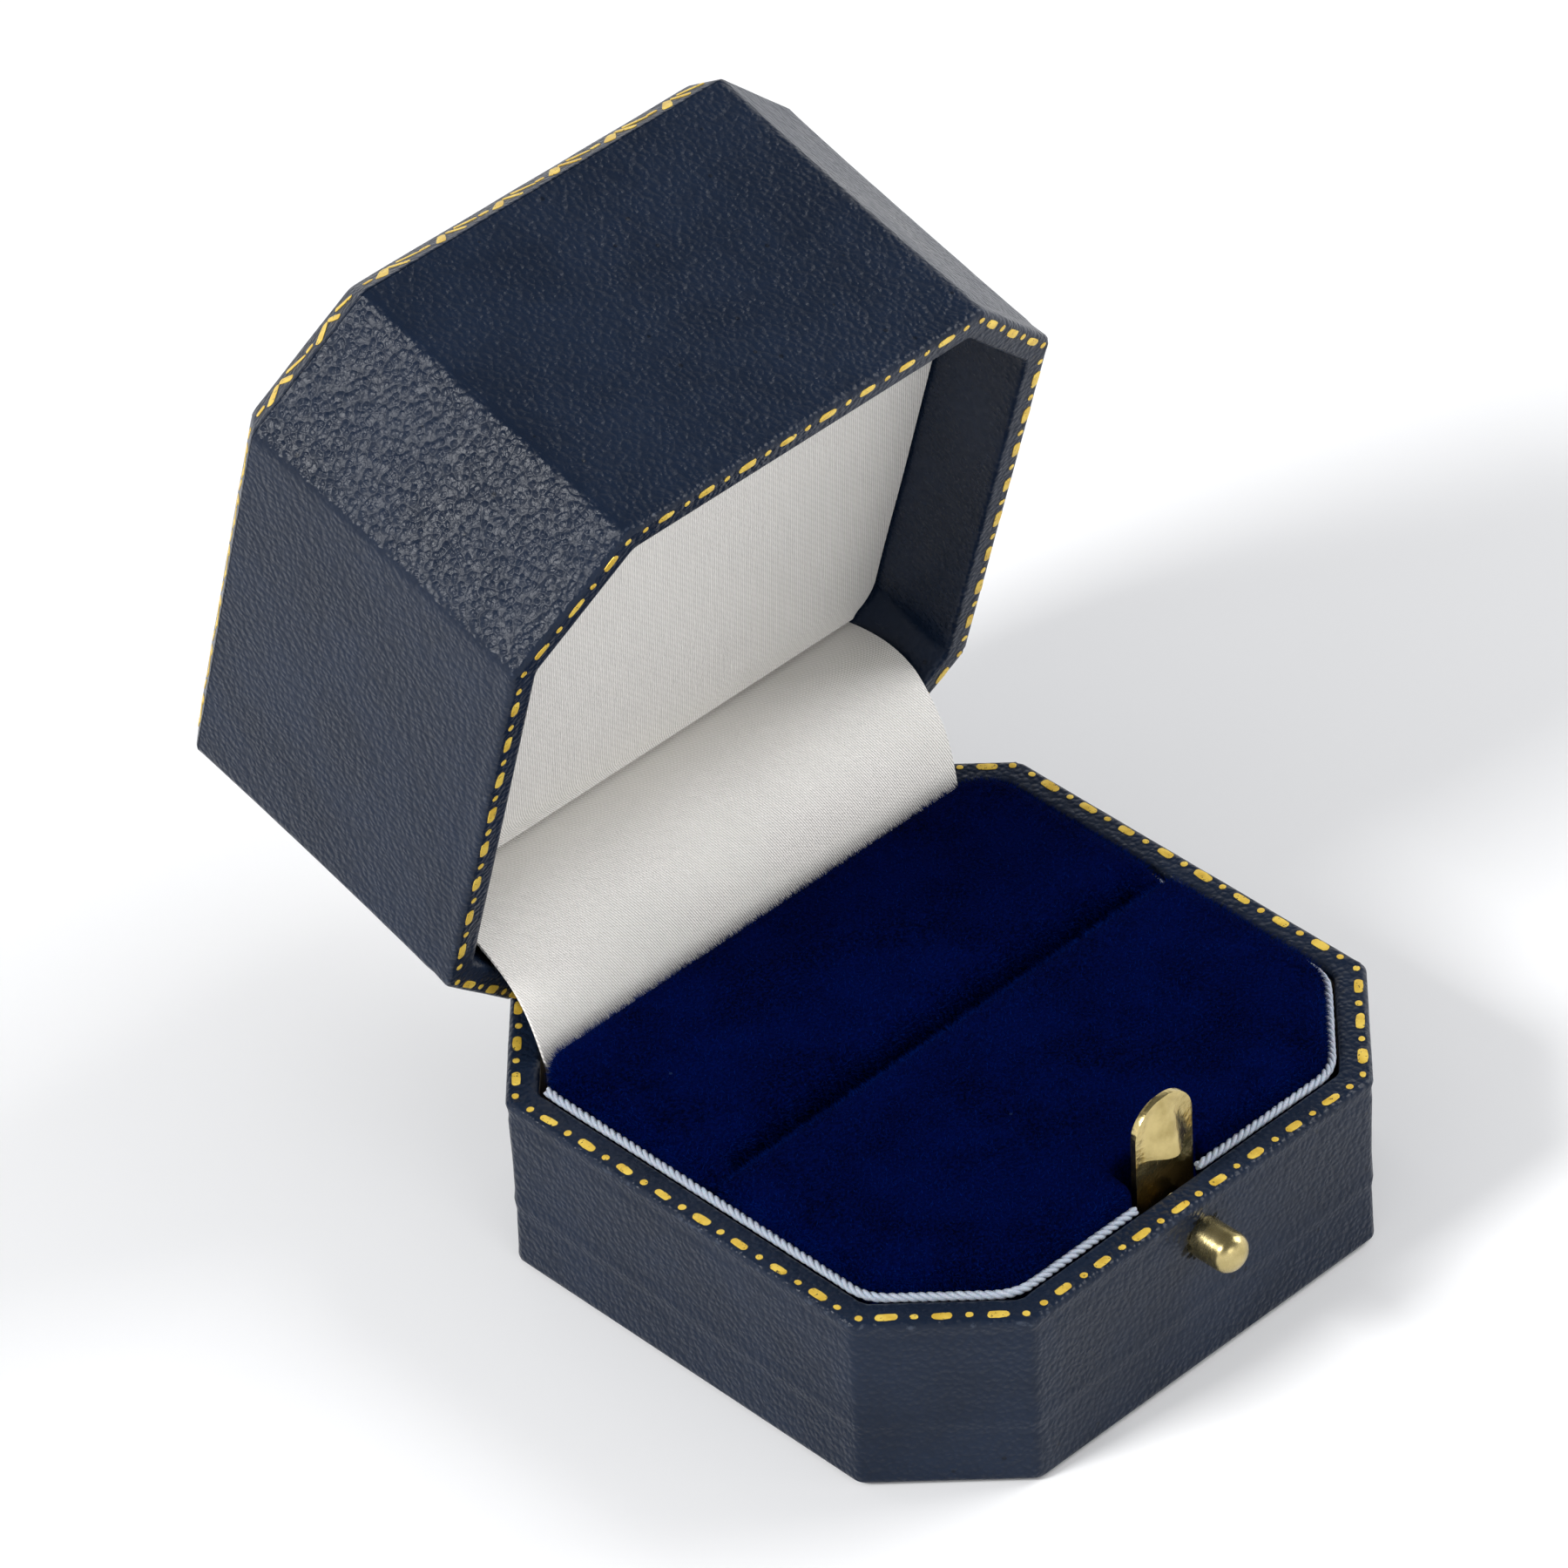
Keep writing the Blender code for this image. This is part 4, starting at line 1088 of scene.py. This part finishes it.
def make_wear_group():
    """Rubbed places: where the piece's rub attribute is high, broken up by noise."""
    tree, given = start_group(
        "edge wear", [("Vector", None), ("Rub", 0.0), ("Patches per Metre", 900.0),
                      ("Amount", 0.5)], ["Mask"])
    patches = tree.lumps(given["Vector"], given["Patches per Metre"], 4.0, Roughness=0.65)
    worn = tree.reckon("ADD", patches, tree.times(given["Rub"], given["Amount"]))
    return tree.end(Mask=tree.ramp(tree.reckon("SUBTRACT", worn, 0.9), 0.0, 0.12))


def make_shade_group():
    """Slow, cloudy change of tone from one part of a surface to another."""
    tree, given = start_group(
        "cloudy tone", [("Vector", None), ("Clouds per Metre", 120.0), ("Detail", 4.0)], ["Tone"])
    clouds = tree.lumps(given["Vector"], given["Clouds per Metre"], given["Detail"],
                        Roughness=0.55)
    return tree.end(Tone=tree.ramp(clouds, 0.3, 0.7))


def make_weave_group():
    """Satin weave: long floats in steep diagonal ribs, with a mask for painted shade where the ribs
    are low. The vector is in millimetres.
    """
    tree, given = start_group(
        "satin weave", [("Vector", None), ("Rib", 0.25), ("Lean", 2.2)], ["Height", "Thread"])
    axes = tree.put("SeparateXYZ", Vector=given["Vector"])
    leaning = tree.reckon("ADD", axes[0], tree.reckon("DIVIDE", axes[1], given["Lean"]))
    across = tree.reckon("DIVIDE", leaning, given["Rib"])
    along = tree.reckon("DIVIDE", axes[1], given["Rib"])
    rib = tree.reckon("SINE", tree.times(across, math.tau))
    step = tree.times(tree.reckon("FLOOR", across), 0.37)
    float_ends = tree.reckon("SINE", tree.times(
        tree.reckon("ADD", tree.times(along, 0.5), step), math.tau))
    both = tree.reckon("ADD", rib, tree.times(float_ends, 0.3))
    height = tree.times(both, 0.3, 0.5)
    return tree.end(Height=height, Thread=tree.ramp(height, 0.15, 0.85))


GROUPS = {"pebble": make_pebble_group(), "speck": make_speck_group(), "wear": make_wear_group(),
          "shade": make_shade_group(), "weave": make_weave_group()}


# ---------------------------------------------------------------- materials

def start_material(name, **settings):
    """A Principled material. Constant settings go straight on the shader's own sockets."""
    made = bpy.data.materials.new(name)
    made.use_nodes = True
    tree = Tree(made, made.node_tree, made.node_tree.nodes["Principled BSDF"].inputs)
    tree.end(**settings)
    return tree, tree.put("TexCoord")


def dim(colour, share):
    return tuple(c * share for c in colour)


def make_leatherette():
    tree, where = start_material("leatherette", Specular_IOR_Level=0.17)
    place = where["Object"]
    navy = (0.0068, 0.0130, 0.0285)
    grain = tree.use("pebble", Vector=place, Pebbles_per_Metre=2500.0, Wander=0.35, Fineness=0.4)
    cloudy = tree.tone(place, 140.0)
    rub, tight = (tree.put("Attribute", {"attribute_name": name})["Fac"]
                  for name in ("rub", "tight"))
    worn = tree.use("wear", Vector=place, Rub=rub, Patches_per_Metre=1500.0, Amount=0.42)["Mask"]
    pores = tree.specks(place, 900.0, 0.12, 0.14)
    base = tree.mix(cloudy, dim(navy, 0.86), dim(navy, 1.16))
    # Painted shade: the valleys between the pebbles are darkened, standing in for the shade that
    # falls in them.
    base = tree.tint(base, grain["Valley"], 0.15, dim(navy, 0.5))
    # Painted shade: the pores, which the relief also sinks as pits, are darkened as if shaded inside.
    base = tree.tint(base, pores, 0.7, dim(navy, 0.3))
    base = tree.tint(base, worn, 0.6, (0.055, 0.068, 0.095))
    rough = tree.times(cloudy, 0.05, tree.times(grain["Valley"], 0.06, 0.27))
    pitted = tree.reckon("SUBTRACT", grain["Height"], tree.times(pores, 0.6))
    relief = tree.times(pitted, tree.reckon("SUBTRACT", 1.0, tree.times(tight, 0.7)))
    return tree.end(Base_Color=base, Roughness=tree.times(tight, -0.06, rough),
                    Normal=tree.bump(relief, 0.085))


def make_gold_leaf():
    tree, where = start_material("gold_leaf", Specular_IOR_Level=0.5)
    place = where["Object"]
    wrinkle = tree.lumps(place, 3600.0, 3.0)
    pits = tree.ramp(tree.lumps(place, 5200.0, 2.0, Roughness=0.7), 0.63, 0.68)
    gold = tree.mix(tree.tone(place, 900.0), (0.66, 0.42, 0.04), (0.86, 0.62, 0.10))
    return tree.end(
        Base_Color=tree.mix(pits, gold, (0.05, 0.035, 0.015)),
        Metallic=tree.times(tree.reckon("SUBTRACT", 1.0, pits), 0.3),
        Roughness=tree.times(wrinkle, 0.25, 0.30), Normal=tree.bump(wrinkle, 0.03))


def make_velvet(name, pile_tone, deep_tone, sheen):
    tree, where = start_material(
        name, Roughness=0.95, Specular_IOR_Level=0.01, Sheen_Weight=sheen, Sheen_Roughness=0.45,
        Sheen_Tint=(0.02, 0.12, 0.8, 1.0))
    place = where["Object"]
    pile = tree.lumps(place, 5200.0, 3.0, Roughness=0.7)
    base = tree.mix(tree.ramp(pile, 0.35, 0.7), deep_tone, pile_tone)
    base = tree.tint(base, tree.tone(place, 220.0, Detail=5.0), 0.3, dim(pile_tone, 1.5))
    lint = tree.specks(place, 520.0, 0.10, 0.055)
    return tree.end(Base_Color=tree.tint(base, lint, 0.5, (0.02, 0.035, 0.08)),
                    Normal=tree.bump(pile, 0.12))


def make_satin_cloth():
    tree, where = start_material(
        "satin_cloth", Specular_IOR_Level=0.5, Sheen_Weight=0.15, Sheen_Roughness=0.35,
        Anisotropic=0.35)
    in_mm = tree.put("VectorMath", {"operation": "SCALE"}, {0: where["UV"]}, Scale=WEAVE_MAP_MM)[0]
    weave = tree.use("weave", Vector=in_mm, Rib=0.27, Lean=2.4)
    slub = tree.lumps(where["Object"], 4200.0, 2.0)
    # Painted shade: the satin is darker where the weave's ribs are low.
    base = tree.mix(weave["Thread"], (0.70, 0.68, 0.645), (0.95, 0.925, 0.89))
    base = tree.tint(base, tree.tone(where["Object"], 90.0), 0.2, (0.86, 0.82, 0.77))
    return tree.end(Base_Color=base, Roughness=tree.times(slub, 0.12, 0.33),
                    Normal=tree.bump(weave["Height"], 0.07))


def make_cord_thread():
    tree, where = start_material(
        "cord_thread", Roughness=0.55, Specular_IOR_Level=0.4, Sheen_Weight=0.3,
        Subsurface_Weight=0.15, Subsurface_Scale=0.0004)
    place = where["Object"]
    fibre = tree.lumps(place, 9000.0, 2.0)
    base = tree.mix(fibre, (0.22, 0.27, 0.36), (0.62, 0.67, 0.74))
    base = tree.tint(base, tree.tone(place, 500.0), 0.5, (0.40, 0.46, 0.56))
    return tree.end(Base_Color=base, Normal=tree.bump(fibre, 0.04))


def make_brass(name, bright, dull, roughness, dents):
    """Brushed brass with small tarnish spots. Dents are in millimetres."""
    tree, where = start_material(name, Metallic=1.0)
    place = where["Object"]
    drawn = tree.put("Mapping", Vector=place, Scale=(1.0, 1.0, 0.12))[0]
    brushed = tree.lumps(drawn, 9000.0, 3.0)
    tarnish = tree.specks(place, 1600.0, 0.12, 0.16)
    base = tree.mix(tree.tone(place, 420.0), dull, bright)
    rough = tree.times(tarnish, 0.2, tree.times(brushed, 0.16, roughness))
    dimples = tree.lumps(place, 1700.0, 2.0)
    return tree.end(Base_Color=tree.tint(base, tarnish, 0.5, (0.16, 0.12, 0.05)), Roughness=rough,
                    Normal=tree.bump(dimples, dents, tree.bump(brushed, 0.004)))


def make_board(name, tone, dark, fibres):
    """Pressed board or paper with fibres lying level."""
    tree, where = start_material(name, Roughness=0.9, Specular_IOR_Level=0.25)
    place = where["Object"]
    flat = tree.put("Mapping", Vector=place, Scale=(1.0, 1.0, 3.5))[0]
    pulp = tree.lumps(flat, fibres, 6.0, Roughness=0.7)
    base = tree.mix(tree.ramp(pulp, 0.3, 0.7), dark, tone)
    flecks = tree.specks(place, 1100.0, 0.15, 0.12)
    return tree.end(Base_Color=tree.tint(base, flecks, 0.5, dim(tone, 1.4)),
                    Normal=tree.bump(pulp, 0.05))


def make_sponge():
    tree, where = start_material("sponge", Roughness=0.95, Specular_IOR_Level=0.2)
    cells = tree.put("TexVoronoi", {"feature": "F1"}, Vector=where["Object"], Scale=2600.0)
    # Painted shade: the foam is darker in the hollows of its cells.
    hollow = tree.ramp(cells["Distance"], 0.1, 0.5)
    return tree.end(Base_Color=tree.mix(hollow, (0.22, 0.19, 0.14), (0.72, 0.68, 0.56)),
                    Normal=tree.bump(hollow, 0.15))


def coat(piece, material):
    piece.data.materials.clear()
    piece.data.materials.append(material)


def recoat(node, material):
    """Give a kept CAD node a better material."""
    piece = frame["nodes"][node]
    for slot in piece.material_slots:
        slot.material = material
    if not piece.material_slots:
        piece.data.materials.append(material)


def mark(piece, name, amount):
    """Store at each point of a piece how rubbed, or how tight, the leatherette is, from 0 to 1."""
    layer = piece.data.attributes.new(name, "FLOAT", "POINT")
    layer.data.foreach_set("value", [amount(p.co, p.normal) for p in piece.data.vertices])


# ---------------------------------------------------------------- the pieces in place

def rubbed(place, normal, edges, upright_share, inside_share):
    """How rubbed a wall is near its level edges (height, reach, share) and its upright ones."""
    level = sum(bell(place.z, height, reach) * share for height, reach, share in edges)
    upright = max(0.0, 1 - from_corner(place) / (0.9 * MM)) * (1 - abs(normal.z))
    faces_out = plan(place).dot(plan(normal)) >= 0
    return min(1.0, level + upright * upright_share) * (1.0 if faces_out else inside_share)


def rub_of_base(place, normal):
    edges = ((BASE_TOP - 0.30 * MM, 0.32 * MM, 0.95), (BASE_BOTTOM + 0.2 * MM, 0.3 * MM, 0.6))
    return rubbed(place, normal, edges, 0.55, 0.3)


def rub_of_lid(place, normal):
    edges = ((LID_RIM + 0.3 * MM, 0.32 * MM, 0.8), (LID_TOP - TOP_BEVEL, 0.3 * MM, 0.5))
    return rubbed(SHUT @ place, SHUT.to_3x3() @ normal, edges, 0.5, 0.2)


def tight_inside_lid(place, normal):
    """1 on the turned-in leatherette inside the lid, which is pulled smooth."""
    flat = SHUT @ place
    deep = min(1.0, max(0.0, (flat.z - LID_RIM) / MM))
    wall = max(abs(flat.x) / (WIDTH / 2), abs(flat.y) / (DEPTH / 2),
               (abs(flat.x) + abs(flat.y)) / (WIDTH / 2 + DEPTH / 2 - CORNER_CUT))
    return deep if wall < 0.95 else 0.0


def place_piece(piece, material, body, nodes=()):
    """Coat a piece, give it its body, and hide the CAD nodes that it takes over."""
    coat(piece, material)
    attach(piece, body)
    if nodes:
        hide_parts(*nodes)


def dress_leatherette():
    grainy = make_leatherette()
    base = make_base_leatherette()
    side, top = make_lid_side_leatherette(), make_lid_top_leatherette()
    mark(base, "rub", rub_of_base)
    mark(side, "rub", rub_of_lid)
    mark(side, "tight", tight_inside_lid)
    mark(top, "rub", rub_of_lid)
    place_piece(base, grainy, "base", ["base_covering"])
    place_piece(side, grainy, "lid", ["lid_side_covering"])
    place_piece(top, grainy, "lid", ["lid_top_covering"])


def dress_gilding():
    gold = make_gold_leaf()
    for piece, body in zip(make_gilding(), ("base", "lid", "lid")):
        place_piece(piece, gold, body)


def dress_cushions():
    velvet = make_velvet("velvet", (0.0000, 0.0026, 0.042), (0.0000, 0.0002, 0.005), 0.01)
    # Painted sheen: the pile's fibres take a lighter copy of the velvet, standing in for the light
    # they catch.
    pile = make_velvet("velvet_pile", (0.0002, 0.0120, 0.120), (0.0000, 0.0006, 0.014), 0.03)
    front, rear = make_front_velvet(), make_rear_velvet()
    for piece, nodes, fibres, seed in ((front, ["front_cushion"], 30000, 5),
                                       (rear, ["rear_cushion", "slot_lining"], 26000, 6)):
        place_piece(piece, velvet, "base", nodes)
        nap = grow_pile(piece.name.replace("velvet", "pile"), piece, fibres, seed)
        place_piece(nap, pile, "base")


def dress_cord():
    thread = make_cord_thread()
    for side, hand in (("left", -1), ("right", 1)):
        piece = make_cord("white_cord_" + side, hand)
        place_piece(piece, thread, "base", ["edge_cord_" + side])


def dress_satin():
    piece, length = make_satin()
    coat(piece, make_satin_cloth())
    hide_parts("lining_satin", "satin_flap")
    width = 2 * card_half_width(0)
    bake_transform(piece)


def dress_brass():
    turned = make_brass("brass", (0.57, 0.47, 0.23), (0.36, 0.29, 0.12), 0.18, 0.015)
    beaten = make_brass("beaten_brass", (0.57, 0.46, 0.21), (0.33, 0.26, 0.10), 0.16, 0.05)
    place_piece(make_brass_tongue(), beaten, "tongue", ["latch_tongue"])
    place_piece(make_brass_button(), turned, "button", ["push_button"])
    for node in ("hinge_leaf_base", "hinge_leaf_lid", "hinge_pin", "hinge_nail_base_left",
                 "hinge_nail_base_right", "hinge_nail_lid_left", "hinge_nail_lid_right",
                 "button_bush", "latch_bracket", "latch_rivet_left", "latch_rivet_right",
                 "catch_plate"):
        recoat(node, turned)


def dress_shells():
    board = make_board("grey_board", (0.30, 0.25, 0.185), (0.17, 0.14, 0.10), 1400.0)
    for node in ("base_shell", "lid_shell", "lining_card"):
        recoat(node, board)
    recoat("base_underside",
           make_board("base_paper", (0.030, 0.032, 0.042), (0.014, 0.015, 0.022), 2200.0))
    recoat("lining_foam", make_sponge())


# ---------------------------------------------------------------- studio

def add_camera():
    """A long lens looking down on the front left of the box."""
    azimuth, elevation, roll = (math.radians(a) for a in (-42.339, 38.879, -3.439))
    distance = 610.75 * MM
    aim = Vector((11.40, 25.44, 12.87)) * MM
    back = Vector((math.sin(azimuth) * math.cos(elevation),
                   -math.cos(azimuth) * math.cos(elevation), math.sin(elevation)))
    right = Vector((math.cos(azimuth), math.sin(azimuth), 0))
    up = back.cross(right)
    turned_right = math.cos(roll) * right + math.sin(roll) * up
    turned_up = -math.sin(roll) * right + math.cos(roll) * up
    camera = bpy.data.objects.new("camera", bpy.data.cameras.new("camera"))
    camera.data.lens = 215.74
    camera.data.sensor_width = 36.0
    camera.data.clip_start = 0.01
    camera.matrix_world = Matrix.Translation(aim + back * distance) @ Matrix(
        (turned_right, turned_up, back)).transposed().to_4x4()
    bpy.context.scene.collection.objects.link(camera)
    bpy.context.scene.camera = camera


def add_lamp(name, place, size, power):
    """A soft rectangular lamp turned to the middle of the box."""
    middle = Vector((0.0, 0.015, 0.025))
    lamp = bpy.data.objects.new(name, bpy.data.lights.new(name, "AREA"))
    lamp.data.shape = "RECTANGLE"
    lamp.data.size, lamp.data.size_y = size
    lamp.data.energy = power
    lamp.location = place
    lamp.rotation_euler = (Vector(place) - middle).to_track_quat("Z", "Y").to_euler()
    bpy.context.scene.collection.objects.link(lamp)


def add_studio():
    put_down()
    bpy.ops.mesh.primitive_circle_add(vertices=96, radius=1.2, fill_type="NGON")
    floor = name_piece("floor")
    tree, where = start_material("floor_paper", Roughness=0.8, Specular_IOR_Level=0.1)
    paper = tree.mix(tree.tone(where["Object"], 5.0), (0.92, 0.92, 0.92), (0.95, 0.95, 0.95))
    coat(floor, tree.end(Base_Color=paper))
    add_lamp("left_window", (-0.62, 0.14, 0.52), (0.19, 0.21), 5.0)
    add_lamp("right_window", (0.55, -0.20, 0.42), (0.40, 0.40), 3.0)
    add_lamp("front_fill", (-0.15, -0.75, 0.40), (0.5, 0.3), 0.8)
    world = bpy.data.worlds.new("studio")
    bpy.context.scene.world = world
    world.use_nodes = True
    tree = Tree(world, world.node_tree, world.node_tree.nodes["Background"].inputs)
    height = tree.put("SeparateXYZ", Vector=tree.put("TexCoord")["Generated"])["Z"]
    sky = tree.mix(tree.ramp(height, 0.05, 0.75), (1.0, 1.0, 1.0), (0.16, 0.165, 0.18))
    tree.end(Color=sky, Strength=1.36)
    bpy.context.scene.view_settings.view_transform = "Standard"


add_camera()
dress_leatherette()
dress_gilding()
dress_cushions()
dress_cord()
dress_satin()
dress_brass()
dress_shells()
add_studio()
put_down()
